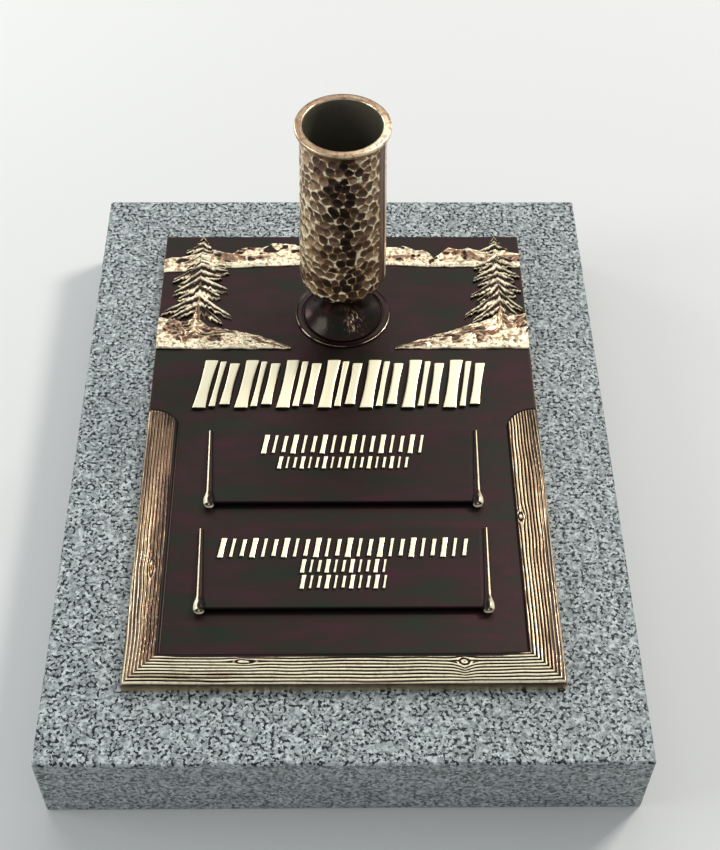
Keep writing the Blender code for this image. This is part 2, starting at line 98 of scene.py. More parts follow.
# Name scrolls
SCROLL_DEPTH = 0.106
SCROLL_FAR_RISE = 0.0024
SCROLL_NEAR_RISE = 0.0080
ROLL_FAR_RADIUS = 0.0026
ROLL_NEAR_RADIUS = 0.0044
CURL_RADIUS = 0.0064
CURL_OVERHANG = 0.0035
CURL_HOLLOW = 0.0024
PANEL_SEAM = 0.0052
UPPER_ROWS = ((0.008, 0.027, 0.061), (0.041, 0.017, 0.080))
LOWER_ROWS = ((0.015, 0.025, 0.021), (0.044, 0.017, 0.111), (0.065, 0.017, 0.111))

# Vase
VASE_RADIUS = 0.0500
VASE_BELLY = 0.0016
VASE_WALL = 0.0038
RIM_RADIUS = 0.0540
RIM_THICK = 0.0080
MOUTH_RADIUS = 0.0442
NECK_RADIUS = 0.0230
NECK_HEIGHT = 0.046
BOWL_HEIGHT = 0.058
FOOT_RADIUS = 0.0495
FOOT_THICK = 0.0030
VASE_CELLS = 26
CELL_PITCH = 0.0110
CELL_DEPTH = 0.0015
CELL_ROWS = 64
NET_ROW_SHARE = 0.866
SEAM_TURN = math.radians(-18)
SEAM_WIDTH = 0.026
SEAM_GROOVE = 0.0009
# Painted shade inside the vase's mouth
INSIDE_DARK = 0.88
VASE_HEIGHT = VASE_HIGH[2] - VASE_LOW[2]
VASE_Y = (VASE_LOW[1] + VASE_HIGH[1]) / 2

# Parts of the vase's outline, from its inside down to its foot
INSIDE, RIM, WALL, FOOT = range(4)

# Rows and columns of the pieces' grids
FIELD_ROWS = (58, 80, 42)
FIELD_COLUMNS = 290
RAIL_SIDE_ROWS = 178
RAIL_NEAR_ROWS = 250
RAIL_COLUMNS = 112
MOUNTAIN_GRID = (560, 84)
MOUND_GRID = (296, 100)
YOUNG_TREE_GRID = (70, 26)
TIER_GRID = (108, 26)
TRUNK_GRID = (60, 10)
STROKE_GRID = (22, 9)
PANEL_GRID = (96, 256)
ROLL_ROWS = 76
ROLL_END_ROWS = 26
ROLL_COLUMNS = 48
VASE_PART_ROWS = 26
VASE_UNDER_ROWS = 8
VASE_WALL_ROWS = 188
VASE_COLUMNS = 340
RING_ROWS = 44
RING_COLUMNS = 190

# Landscape outlines, as shares of half the width and of the landscape's depth
MOUNTAIN_CREST = (
    (-1.00, 0.79), (-0.91, 0.81), (-0.80, 0.85), (-0.72, 0.88), (-0.67, 0.86), (-0.62, 0.84),
    (-0.58, 0.90), (-0.45, 0.91), (-0.39, 0.95), (-0.29, 0.94), (-0.15, 0.87), (-0.04, 0.90),
    (0.07, 0.86), (0.18, 0.89), (0.28, 0.91), (0.34, 0.92), (0.41, 0.88), (0.47, 0.88),
    (0.515, 0.80), (0.60, 0.90), (0.67, 0.88), (0.71, 0.90), (0.79, 0.86), (0.90, 0.87),
    (1.00, 0.84),
)
MOUNTAIN_SHORE = (
    (-1.0, 0.68), (-0.63, 0.72), (-0.25, 0.745), (0.25, 0.745), (0.60, 0.725), (1.0, 0.72),
)
MOUND_LEFT = (
    (-1.00, 0.28), (-0.86, 0.24), (-0.80, 0.29), (-0.73, 0.20), (-0.46, 0.12), (-0.28, 0.015),
)
MOUND_RIGHT = (
    (1.00, 0.31), (0.90, 0.29), (0.86, 0.33), (0.81, 0.27), (0.59, 0.16), (0.28, 0.015),
)
# Young trees on the mounds: share across, foot, height, half width in metres
YOUNG_TREE_LEFT = (-0.80, 0.14, 0.22, 0.014)
YOUNG_TREE_RIGHT = (0.86, 0.16, 0.22, 0.014)
# Pines: the trunk's share across, then each tier's height and its two drooping tips
PINE_LEFT = (
    -0.79,
    (
        (0.93, (-0.88, 0.87), (-0.71, 0.88)),
        (0.84, (-0.89, 0.75), (-0.61, 0.77)),
        (0.74, (-0.94, 0.60), (-0.64, 0.68)),
        (0.62, (-0.93, 0.49), (-0.64, 0.52)),
        (0.47, (-0.985, 0.31), (-0.61, 0.28)),
    ),
)
PINE_RIGHT = (
    0.865,
    (
        (0.92, (0.76, 0.86), (0.935, 0.88)),
        (0.82, (0.74, 0.72), (0.975, 0.78)),
        (0.72, (0.73, 0.61), (0.985, 0.64)),
        (0.61, (0.71, 0.46), (0.985, 0.51)),
        (0.49, (0.67, 0.29), (0.985, 0.34)),
    ),
)
PINE_TIP = 0.995
PINE_FOOT = 0.25


def ease(value):
    """Smooth step of a share: 3 v squared minus 2 v cubed, held to 0 and 1."""
    held = np.clip(value, 0.0, 1.0)
    return held * held * (3 - 2 * held)


def bell(value, centre, width):
    """A smooth bump: e to minus the square of the distance from the centre in widths."""
    return np.exp(-(((value - centre) / width) ** 2))


def ripples(phase):
    """A wave from 0 to 1, once for each whole of the phase: half of one less the cosine."""
    return 0.5 - 0.5 * np.cos(2 * np.pi * phase)


def noise(x, y, seed):
    """Smooth random heights from 0 to 1: a lattice of seeded values, eased between its four corners."""
    table = np.random.default_rng(seed).random((256, 256))
    column, row = np.floor(x).astype(int), np.floor(y).astype(int)
    u, v = ease(x - column), ease(y - row)
    near = table[column % 256, row % 256] * (1 - u) + table[(column + 1) % 256, row % 256] * u
    far = table[column % 256, (row + 1) % 256] * (1 - u) + table[(column + 1) % 256, (row + 1) % 256] * u
    return near * (1 - v) + far * v


def fractal(x, y, octaves, seed):
    """Noise summed over octaves, each twice as fine and half as high, scaled to 0 to 1."""
    total, weight = 0.0, 0.0
    for octave in range(octaves):
        total = total + noise(x * 2**octave, y * 2**octave, seed + octave) * 0.5**octave
        weight += 0.5**octave
    return total / weight


def ridged(x, y, octaves, seed):
    """Crests where noise passes its middle: one less twice the distance from a half, squared.

    Octaves are summed as in fractal, each 0.55 times as high as the one before.
    """
    total, weight = 0.0, 0.0
    for octave in range(octaves):
        level = noise(x * 2**octave, y * 2**octave, seed + octave)
        total = total + (1 - np.abs(2 * level - 1)) ** 2 * 0.55**octave
        weight += 0.55**octave
    return total / weight


def smooth(values, times):
    """Averages each point of a grid with its four neighbours, over and over."""
    for _ in range(times):
        wide = np.pad(values, 1, mode="edge")
        values = (wide[:-2, 1:-1] + wide[2:, 1:-1] + wide[1:-1, :-2] + wide[1:-1, 2:] + 2 * values) / 6
    return values


def crests(rise, times, reach):
    """How far each point stands above its surroundings, from -1 to 1, measured in lengths of reach."""
    return np.clip((rise - smooth(rise, times)) / reach, -1, 1)


def follow(pairs, across):
    """Height of a broken line, given as pairs, at the places across."""
    ordered = sorted(pairs)
    return np.interp(across, [pair[0] for pair in ordered], [pair[1] for pair in ordered])


def land_point(across, deep):
    """Turns the landscape's two shares into x and y."""
    return across * (HALF_WIDTH - EDGE_INSET), LAND_NEAR + deep * LAND_DEPTH


def cone_volume(first, second, third):
    """Six times the volume between triangles and the origin: the sum of their triple products."""
    return np.einsum("ij,ij->", first, np.cross(second, third))


def build_mesh(name, points, quads, others, masks, sharp=35):
    """Puts points, four-cornered faces and any others into a mesh whose faces point outwards.

    The faces are turned over where the volume that they enclose comes out below zero.
    """
    a, b, c, d = (points[quads[:, corner]] for corner in range(4))
    volume = cone_volume(a, b, c) + cone_volume(a, c, d)
    for face in others:
        ring = points[face]
        volume += cone_volume(np.repeat(ring[:1], len(ring) - 2, 0), ring[1:-1], ring[2:])
    flipped = volume < 0
    quads = quads[:, ::-1] if flipped else quads
    others = [face[::-1] if flipped else face for face in others]
    loops = np.concatenate([quads.ravel(), *others]).astype(np.int32)
    sizes = np.array([4] * len(quads) + [len(face) for face in others], dtype=np.int32)
    starts = np.concatenate([[0], np.cumsum(sizes)[:-1]]).astype(np.int32)
    mesh = bpy.data.meshes.new(name)
    mesh.vertices.add(len(points))
    mesh.vertices.foreach_set("co", points.astype(np.float32).ravel())
    mesh.loops.add(len(loops))
    mesh.loops.foreach_set("vertex_index", loops)
    mesh.polygons.add(len(sizes))
    mesh.polygons.foreach_set("loop_start", starts)
    mesh.update(calc_edges=True)
    mesh.validate()
    for label, values in masks.items():
        layer = mesh.attributes.new(label, "FLOAT", "POINT")
        layer.data.foreach_set("value", np.asarray(values, dtype=np.float32))
    mesh.shade_smooth()
    mesh.set_sharp_from_angle(angle=math.radians(sharp))
    return mesh


def grid_quads(rows, columns, wrap_rows=False, wrap_columns=False):
    """Faces of a rows by columns grid of points, closed round where asked."""
    r = np.arange(rows if wrap_rows else rows - 1)
    c = np.arange(columns if wrap_columns else columns - 1)
    r, c = (part.ravel() for part in np.meshgrid(r, c, indexing="ij"))
    r2, c2 = (r + 1) % rows, (c + 1) % columns
    return np.stack([r * columns + c, r2 * columns + c, r2 * columns + c2, r * columns + c2], axis=1)


def closed_patch(sheet, base):
    """A sheet closed by straight walls and a flat underside at the height base.

    The points along the sheet's two long edges are repeated at that height, and quads join them.
    """
    rows, columns = sheet.shape[:2]
    top = sheet.reshape(-1, 3)
    low = np.concatenate([sheet[:, 0], sheet[:, -1]])
    low[:, 2] = base
    first, last = rows * columns, rows * columns + rows
    r = np.arange(rows - 1)
    near = np.stack([r * columns, first + r, first + r + 1, (r + 1) * columns], axis=1)
    edge = columns - 1
    far = np.stack([r * columns + edge, (r + 1) * columns + edge, last + r + 1, last + r], axis=1)
    under = np.stack([first + r, last + r, last + r + 1, first + r + 1], axis=1)
    start = [*range(columns), last, first]
    tail = (rows - 1) * columns
    end = [*range(tail, tail + columns), last + rows - 1, first + rows - 1][::-1]
    quads = np.concatenate([grid_quads(rows, columns), near, far, under])
    return np.concatenate([top, low]), quads, [start, end]


def shares(rows, columns):
    """Two grids of shares from 0 to 1, one along the rows and one along the columns."""
    return np.meshgrid(np.linspace(0, 1, rows), np.linspace(0, 1, columns), indexing="ij")


def add_piece(mesh, material, node):
    """Makes the object and rides it, with its material, on the body in place of its CAD node."""
    piece = bpy.data.objects.new(mesh.name, mesh)
    bpy.context.scene.collection.objects.link(piece)
    mesh.materials.append(material)
    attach(piece, "root")
    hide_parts(node)


def joined_patches(name, patches, material, node="bronze_plate", walls=(0.1, 0.6)):
    """Joins closed patches, each a sheet with its wear, darkness and the height of its underside.

    The walls have one wear and one darkness all round. Wear also carries painted highlights, and
    darkness carries painted shade as well as dark patina.
    """
    points, quads, others, wear_and_sheen, dark = [], [], [], [], []
    start = 0
    for sheet, worn_and_lit, shade_and_patina, base in patches:
        p, q, o = closed_patch(sheet, base)
        low = np.ones(2 * sheet.shape[0])
        points.append(p)
        quads.append(q + start)
        others.extend([[corner + start for corner in face] for face in o])
        wear_and_sheen.append(np.concatenate([np.broadcast_to(worn_and_lit, sheet.shape[:2]).ravel(), walls[0] * low]))
        dark.append(np.concatenate([np.broadcast_to(shade_and_patina, sheet.shape[:2]).ravel(), walls[1] * low]))
        start += len(p)
    masks = {"wear_and_sheen": np.clip(np.concatenate(wear_and_sheen), 0, 1.1), "dark": np.clip(np.concatenate(dark), 0, 1)}
    mesh = build_mesh(name, np.concatenate(points), np.concatenate(quads), others, masks)
    add_piece(mesh, material, node)


def relief(x, y, rise, wear_and_sheen, dark):
    """A patch that stands the rise above the plate, with its underside sunk a little into it."""
    return np.stack([x, y, PLATE_TOP + rise], axis=-1), wear_and_sheen, dark, PLATE_TOP - SINK


class Graph:
    """Short hands for building a node tree."""

    def __init__(self, tree):
        self.tree = tree

    def feed(self, sockets, inputs):
        """Joins each named socket to another socket, or gives it a value."""
        for key, value in inputs.items():
            if isinstance(value, bpy.types.NodeSocket):
                self.tree.links.new(value, sockets[key])
            else:
                sockets[key].default_value = value

    def add(self, kind, inputs=None, **settings):
        """A node with its settings made first, and then its inputs."""
        node = self.tree.nodes.new(kind)
        for key, value in settings.items():
            setattr(node, key, value)
        self.feed(node.inputs, inputs or {})
        return node

    def math(self, operation, *values):
        """A sum, product or the like of its values."""
        return self.add("ShaderNodeMath", dict(enumerate(values)), operation=operation).outputs[0]

    def map(self, value, low, high, to_low=0.0, to_high=1.0):
        """Maps a value from one range to another, eased and held."""
        inputs = {"Value": value, "From Min": low, "From Max": high, "To Min": to_low, "To Max": to_high}
        return self.add("ShaderNodeMapRange", inputs, interpolation_type="SMOOTHSTEP").outputs["Result"]

    def mix(self, share, first, second):
        """Two colours mixed. Sockets 6 and 7 are the node's colours, and its output 2 is too."""
        return self.add("ShaderNodeMix", {0: share, 6: first, 7: second}, data_type="RGBA").outputs[2]

    def noise(self, vector, scale, detail=3.0, roughness=0.55):
        """Smooth noise at a scale, in waves a metre."""
        inputs = {"Vector": vector, "Scale": scale, "Detail": detail, "Roughness": roughness}
        return self.add("ShaderNodeTexNoise", inputs).outputs["Fac"]

    def ramp(self, value, stops):
        """A colour ramp with the given places and colours."""
        node = self.add("ShaderNodeValToRGB", {"Fac": value})
        band = node.color_ramp
        while len(band.elements) < len(stops):
            band.elements.new(0.5)
        for element, (place, colour) in zip(band.elements, stops):
            element.position = place
            element.color = (*colour, 1.0)
        return node.outputs["Color"]


def new_group(name, inputs, outputs):
    """An empty shader group with named sockets: kind, name and default."""
    group = bpy.data.node_groups.new(name, "ShaderNodeTree")
    for kind, label, value in inputs:
        socket = group.interface.new_socket(label, in_out="INPUT", socket_type=kind)
        socket.default_value = value
    for kind, label in outputs:
        group.interface.new_socket(label, in_out="OUTPUT", socket_type=kind)
    return group


# Colours, as linear values, with their places on the ramps
BROWN_PATINA = (0.026, 0.016, 0.013)
PATINAS = ((0.32, (0.014, 0.021, 0.013)), (0.49, BROWN_PATINA), (0.68, (0.040, 0.014, 0.019)))
COPPER = (0.235, 0.155, 0.110)
GOLD = (0.68, 0.50, 0.30)
CREAM = (1.0, 0.91, 0.64)
METALS = ((0.12, BROWN_PATINA), (0.38, COPPER), (0.62, GOLD), (0.90, CREAM))
RUSSET = (0.27, 0.115, 0.062, 1.0)
# Near black that the dark mask mixes in: painted shade, and dark patina in hollows
SHADE_AND_PATINA_BLACK = (0.004, 0.003, 0.003, 1.0)
PALE_GRAINS = (
    (0.0, (0.225, 0.255, 0.252)),
    (0.45, (0.335, 0.37, 0.365)),
    (1.0, (0.55, 0.60, 0.595)),
)
GREY_CLOUD = (0.095, 0.112, 0.112, 1.0)
MICA = (0.004, 0.007, 0.010, 1.0)
SAW_DUST = (0.34, 0.36, 0.36, 1.0)
FLOOR = (0.66, 0.66, 0.64, 1.0)
SKYLIGHT = (0.90, 0.95, 1.0, 1.0)

# The granite is polished above the first of these depths under its top, and sawn below the second
POLISH_DEPTHS = (0.0018, 0.0030)

# Each bronze: how far grain breaks up its wear, how much russet stains it, grain scale, bump
BRONZES = {
    "plate_bronze": (0.30, 0.0, 800.0, 0.35),
    "frame_bronze": (0.12, 0.25, 700.0, 0.15),
    "landscape_bronze": (0.34, 0.80, 600.0, 0.35),
    "scroll_bronze": (0.16, 0.0, 800.0, 0.25),
    "vase_bronze": (0.34, 0.60, 640.0, 0.30),
    "ring_bronze": (0.15, 0.0, 700.0, 0.15),
}


def cast_bronze_group():
    """Cast bronze: patina in the low places, copper half way, rubbed gold and cream on the high ones.

    The wear mask, shifted by fine noise, picks the colour along the ramp; besides wear it carries
    painted highlights. Russet stains the clear metal in small patches, the dark mask takes it towards
    black, for painted shade as well as dark patina in hollows, and polish makes it glossier.
    """
    group = new_group(
        "cast_bronze",
        (
            ("NodeSocketFloat", "Wear_and_sheen", 0.0),
            ("NodeSocketFloat", "Dark", 0.0),
            ("NodeSocketFloat", "Polish", 0.0),
            ("NodeSocketFloat", "Breakup", 0.25),
            ("NodeSocketFloat", "Russet", 0.0),
            ("NodeSocketFloat", "Grain Scale", 900.0),
        ),
        (
            ("NodeSocketColor", "Color"),
            ("NodeSocketFloat", "Metallic"),
            ("NodeSocketFloat", "Roughness"),
            ("NodeSocketFloat", "Height"),
        ),
    )
    g = Graph(group)
    given = g.add("NodeGroupInput").outputs
    place = g.add("ShaderNodeTexCoord").outputs["Object"]
    fine = g.noise(place, given["Grain Scale"], 4.0, 0.6)
    drawn = g.add("ShaderNodeMapping", {"Vector": place, "Scale": (0.28, 1.0, 1.0)}).outputs["Vector"]
    broad = g.noise(drawn, 48.0, 4.0, 0.6)
    spread = g.math("MULTIPLY", g.math("SUBTRACT", fine, 0.5), given["Breakup"])
    worn_and_lit = g.math("ADD", given["Wear_and_sheen"], spread)
    patina = g.ramp(broad, PATINAS)
    metal = g.ramp(worn_and_lit, METALS)
    clear = g.math("SUBTRACT", 1.0, given["Dark"])
    patches = g.math("MULTIPLY", g.map(g.noise(place, 170.0, 4.0, 0.62), 0.50, 0.60), clear)
    stain = g.math("MULTIPLY", patches, given["Russet"])
    stained = g.mix(stain, metal, RUSSET)
    bronze = g.mix(g.map(worn_and_lit, 0.10, 0.30), patina, stained)
    colour = g.mix(given["Dark"], bronze, SHADE_AND_PATINA_BLACK)
    smudge = g.math("MULTIPLY", g.math("SUBTRACT", g.noise(place, 60.0, 3.0), 0.5), 0.16)
    rough = g.math("ADD", g.map(worn_and_lit, 0.1, 0.8, 0.42, 0.34), smudge)
    glossy = g.math("SUBTRACT", rough, g.math("MULTIPLY", given["Polish"], 0.28))
    bare = g.math("SUBTRACT", g.map(worn_and_lit, 0.05, 0.35, 0.80, 1.0), g.map(worn_and_lit, 0.80, 1.00, 0.0, 0.85))
    g.add("NodeGroupOutput", {"Color": colour, "Metallic": bare, "Roughness": glossy, "Height": fine})
    return group


def new_material(name):
    """A material, the graph of its nodes and the inputs of its shader."""
    material = bpy.data.materials.new(name)
    material.use_nodes = True
    return material, Graph(material.node_tree), material.node_tree.nodes["Principled BSDF"].inputs


def bronze_material(name, group, breakup, russet, grain_scale, bump):
    """A bronze that reads its masks from the mesh."""
    material, g, shader = new_material(name)
    given = {"Breakup": breakup, "Russet": russet, "Grain Scale": grain_scale}
    for label in ("wear_and_sheen", "dark", "polish"):
        given[label.capitalize()] = g.add("ShaderNodeAttribute", attribute_name=label).outputs["Fac"]
    cast = g.add("ShaderNodeGroup", given, node_tree=group).outputs
    grain = g.add("ShaderNodeBump", {"Strength": bump, "Distance": 0.0004, "Height": cast["Height"]})
    g.feed(shader, {"Base Color": cast["Color"], "Metallic": cast["Metallic"]})
    g.feed(shader, {"Roughness": cast["Roughness"], "Normal": grain.outputs["Normal"]})
    return material


def granite_material():
    """Grey granite: pale grains, mid-grey clouds and dark mica, polished above and sawn below."""
    material, g, shader = new_material("grey_granite")
    place = g.add("ShaderNodeTexCoord").outputs["Object"]
    cells = g.add("ShaderNodeTexVoronoi", {"Vector": place, "Scale": 300.0, "Randomness": 1.0})
    grain = g.add("ShaderNodeSeparateColor", {"Color": cells.outputs["Color"]}).outputs[0]
    pale = g.ramp(grain, PALE_GRAINS)
    cloud = g.map(g.noise(place, 185.0, 4.0, 0.68), 0.49, 0.60)
    greyed = g.mix(g.math("MULTIPLY", cloud, 0.74), pale, GREY_CLOUD)
    speck = g.map(g.noise(place, 255.0, 2.0, 0.5), 0.534, 0.556)
    gate = g.map(g.noise(place, 70.0, 2.0), 0.38, 0.46)
    mica = g.math("MULTIPLY", speck, gate)
    stone = g.mix(g.math("MULTIPLY", mica, 0.98), greyed, MICA)
    height = g.add("ShaderNodeSeparateXYZ", {"Vector": place}).outputs["Z"]
    polished = g.map(height, GRANITE_TOP - POLISH_DEPTHS[1], GRANITE_TOP - POLISH_DEPTHS[0])
    dust = g.math("MULTIPLY", g.math("SUBTRACT", 1.0, polished), 0.30)
    marks = g.math("ADD", g.noise(place, 420.0, 4.0), g.math("MULTIPLY", mica, -0.5))
    bump = g.add("ShaderNodeBump", {"Strength": 0.18, "Distance": 0.0006, "Height": marks})
    g.feed(shader, {"Base Color": g.mix(dust, stone, SAW_DUST), "Normal": bump.outputs["Normal"]})
    g.feed(shader, {"Roughness": g.map(polished, 0.0, 1.0, 0.72, 0.46), "Specular IOR Level": 0.25})
    return material


def floor_material():
    """A plain pale matt floor."""
    material, g, shader = new_material("studio_floor")
    g.feed(shader, {"Base Color": FLOOR, "Roughness": 0.85})
    return material


def headline_layout():
    """Place and size of every headline stroke.

    The row lies a fixed share of the free depth below the landscape, and is cut into equal cells,
    each with a thick stroke, a thin one and a shorter one.
    """
    spare = LAND_NEAR + HALF_LENGTH - RAIL_WIDTH - HEADLINE_HEIGHT - 2 * SCROLL_DEPTH
    middle = LAND_NEAR - spare * FIELD_GAPS[0] / sum(FIELD_GAPS) - HEADLINE_HEIGHT / 2
    length = 2 * (HALF_WIDTH - HEADLINE_SIDE)
    pitch = length / HEADLINE_CELLS
    layout = []
    for cell in range(HEADLINE_CELLS):
        for place, width, height in HEADLINE_STROKES:
            x = -length / 2 + (cell + place) * pitch
            layout.append((x, middle, width * pitch, height * HEADLINE_HEIGHT))
    return layout


def shade_beside(x, y, layout, drop, reach):
    """Painted shadow on the lower left of leaning strokes.

    It is full within a copy of the stroke moved by the drop, and eased away over the reach.
    """
    dark = np.zeros(x.shape)
    for middle_x, middle_y, width, height in layout:
        up = y - middle_y + drop
        beside = np.abs(x - middle_x + drop - STROKE_LEAN * up) - width / 2
        away = np.maximum(beside, np.abs(up) - height / 2)
        dark = np.maximum(dark, 1 - ease(away / reach))
    return dark


def plate_slab(material):
    """The plate's own body: a nearly flat field with straight sides.

    Its height drops at the edge by an eased share of the distance to it, and ripples by noise. The
    rows are close together across the headline, whose strokes have painted shadows beside them.
    """
    layout = headline_layout()
    middle = layout[0][1]
    band = 0.6 * HEADLINE_HEIGHT
    inner = HALF_LENGTH - EDGE_STRIP
    stations = [[-HALF_LENGTH], np.linspace(-inner, middle - band, FIELD_ROWS[0], endpoint=False)]
    stations += [np.linspace(middle - band, middle + band, FIELD_ROWS[1], endpoint=False)]
    stations += [np.linspace(middle + band, inner, FIELD_ROWS[2]), [HALF_LENGTH]]
    columns = np.linspace(-HALF_WIDTH, HALF_WIDTH, FIELD_COLUMNS)
    y, x = np.meshgrid(np.concatenate(stations), columns, indexing="ij")
    edge = np.minimum(HALF_WIDTH - np.abs(x), HALF_LENGTH - np.abs(y))
    ripple = 0.00012 * (fractal(x * 40, y * 40, 3, 11) - 0.5)
    z = PLATE_TOP - EDGE_DROP * (1 - ease(edge / EDGE_ROUND)) + ripple * ease(edge / 0.01)
    brightened = 0.50 * (1 - ease(edge / 0.0016)) * fractal(x * 90, y * 90, 3, 5)
    # Painted shadows of the headline strokes, on their lower left
    dark = 0.95 * shade_beside(x, y, layout, 0.0026, 0.0022)
    patch = (np.stack([x, y, z], axis=-1), brightened, dark, PLATE_LOW[2])
    joined_patches("plate_slab", [patch], material, walls=(0.80, 0.0))


# Knots: rail (-1 left, 0 near, 1 right), place along it, depth from the edge, reach, width, pull
KNOTS = (
    (0, -0.102, 0.0245, 0.0130, 0.0042, 0.0),
    (0, 0.124, 0.0235, 0.0080, 0.0062, 0.0052),
    (1, -0.123, 0.0315, 0.0100, 0.0046, 0.0),
    (-1, -0.190, 0.0210, 0.0150, 0.0030, 0.0),
)


def knot(travel, depth, centre, place, reach, width, pull):
    """How far grain lines are moved at a knot, and how much a point is inside it.

    Inside is a bell of the distance in reaches and widths. Lines are pushed to either side by a
    bell along the rail that fades with the distance beside it, and a pull draws the lines
    outside the knot into a V.
    """
    along = (travel - centre) / reach
    beside = (depth - place) / width
    inside = np.exp(-(along**2 + beside**2) * 1.6)
    fade = np.exp(-(along**2) * 0.9 - np.abs(beside) * 0.8)
    push = 0.6 * width * np.sign(beside) * fade * (1 - inside)
    outside = ease((place + width - depth) / 0.008) * ease(depth / 0.022)
    drawn = pull * np.exp(-1.3 * np.abs(along)) * outside
    return drawn - push, inside


def rail_grid():
    """The frame's grid: down the left rail, along the near one and up the right one, on mitres.

    A side rail's rows run from the curved far end to the mitre, closer together towards both. Each
    point comes with its depth from the plate's edge and that depth's share of the rail, its side
    (-1 left, 0 near, 1 right), how far down a side rail and how far along the near one it is, and
    its distances from the far end and from the mitre.
    """
    rows = 2 * RAIL_SIDE_ROWS + RAIL_NEAR_ROWS + 1
    station, across = np.meshgrid(np.arange(rows), np.linspace(0, 1, RAIL_COLUMNS), indexing="ij")
    depth = EDGE_INSET + across * (RAIL_WIDTH - EDGE_INSET)
    curve = 1 - np.sqrt(np.clip(1 - (depth / RAIL_WIDTH) ** 2, 0, 1))
    top = LAND_NEAR - RAIL_START - RAIL_END_CURVE * curve
    low = -HALF_LENGTH + depth
    left = np.clip(station / RAIL_SIDE_ROWS, 0, 1)
    near = np.clip((station - RAIL_SIDE_ROWS) / RAIL_NEAR_ROWS, 0, 1)
    right = np.clip((station - RAIL_SIDE_ROWS - RAIL_NEAR_ROWS) / RAIL_SIDE_ROWS, 0, 1)
    down = left - right
    y = top + (down - 0.08 * np.sin(np.pi * down)) * (low - top)
    x = (-HALF_WIDTH + depth) * (1 - near) + (HALF_WIDTH - depth) * near
    side = np.where(near <= 0, -1.0, np.where(near >= 1, 1.0, 0.0))
    from_end = np.where(side == 0, 1.0, top - y)
    corner = np.where(side == 0, HALF_WIDTH - depth - np.abs(x), y - low)
    return x, y, depth, across, side, down, near, from_end, corner


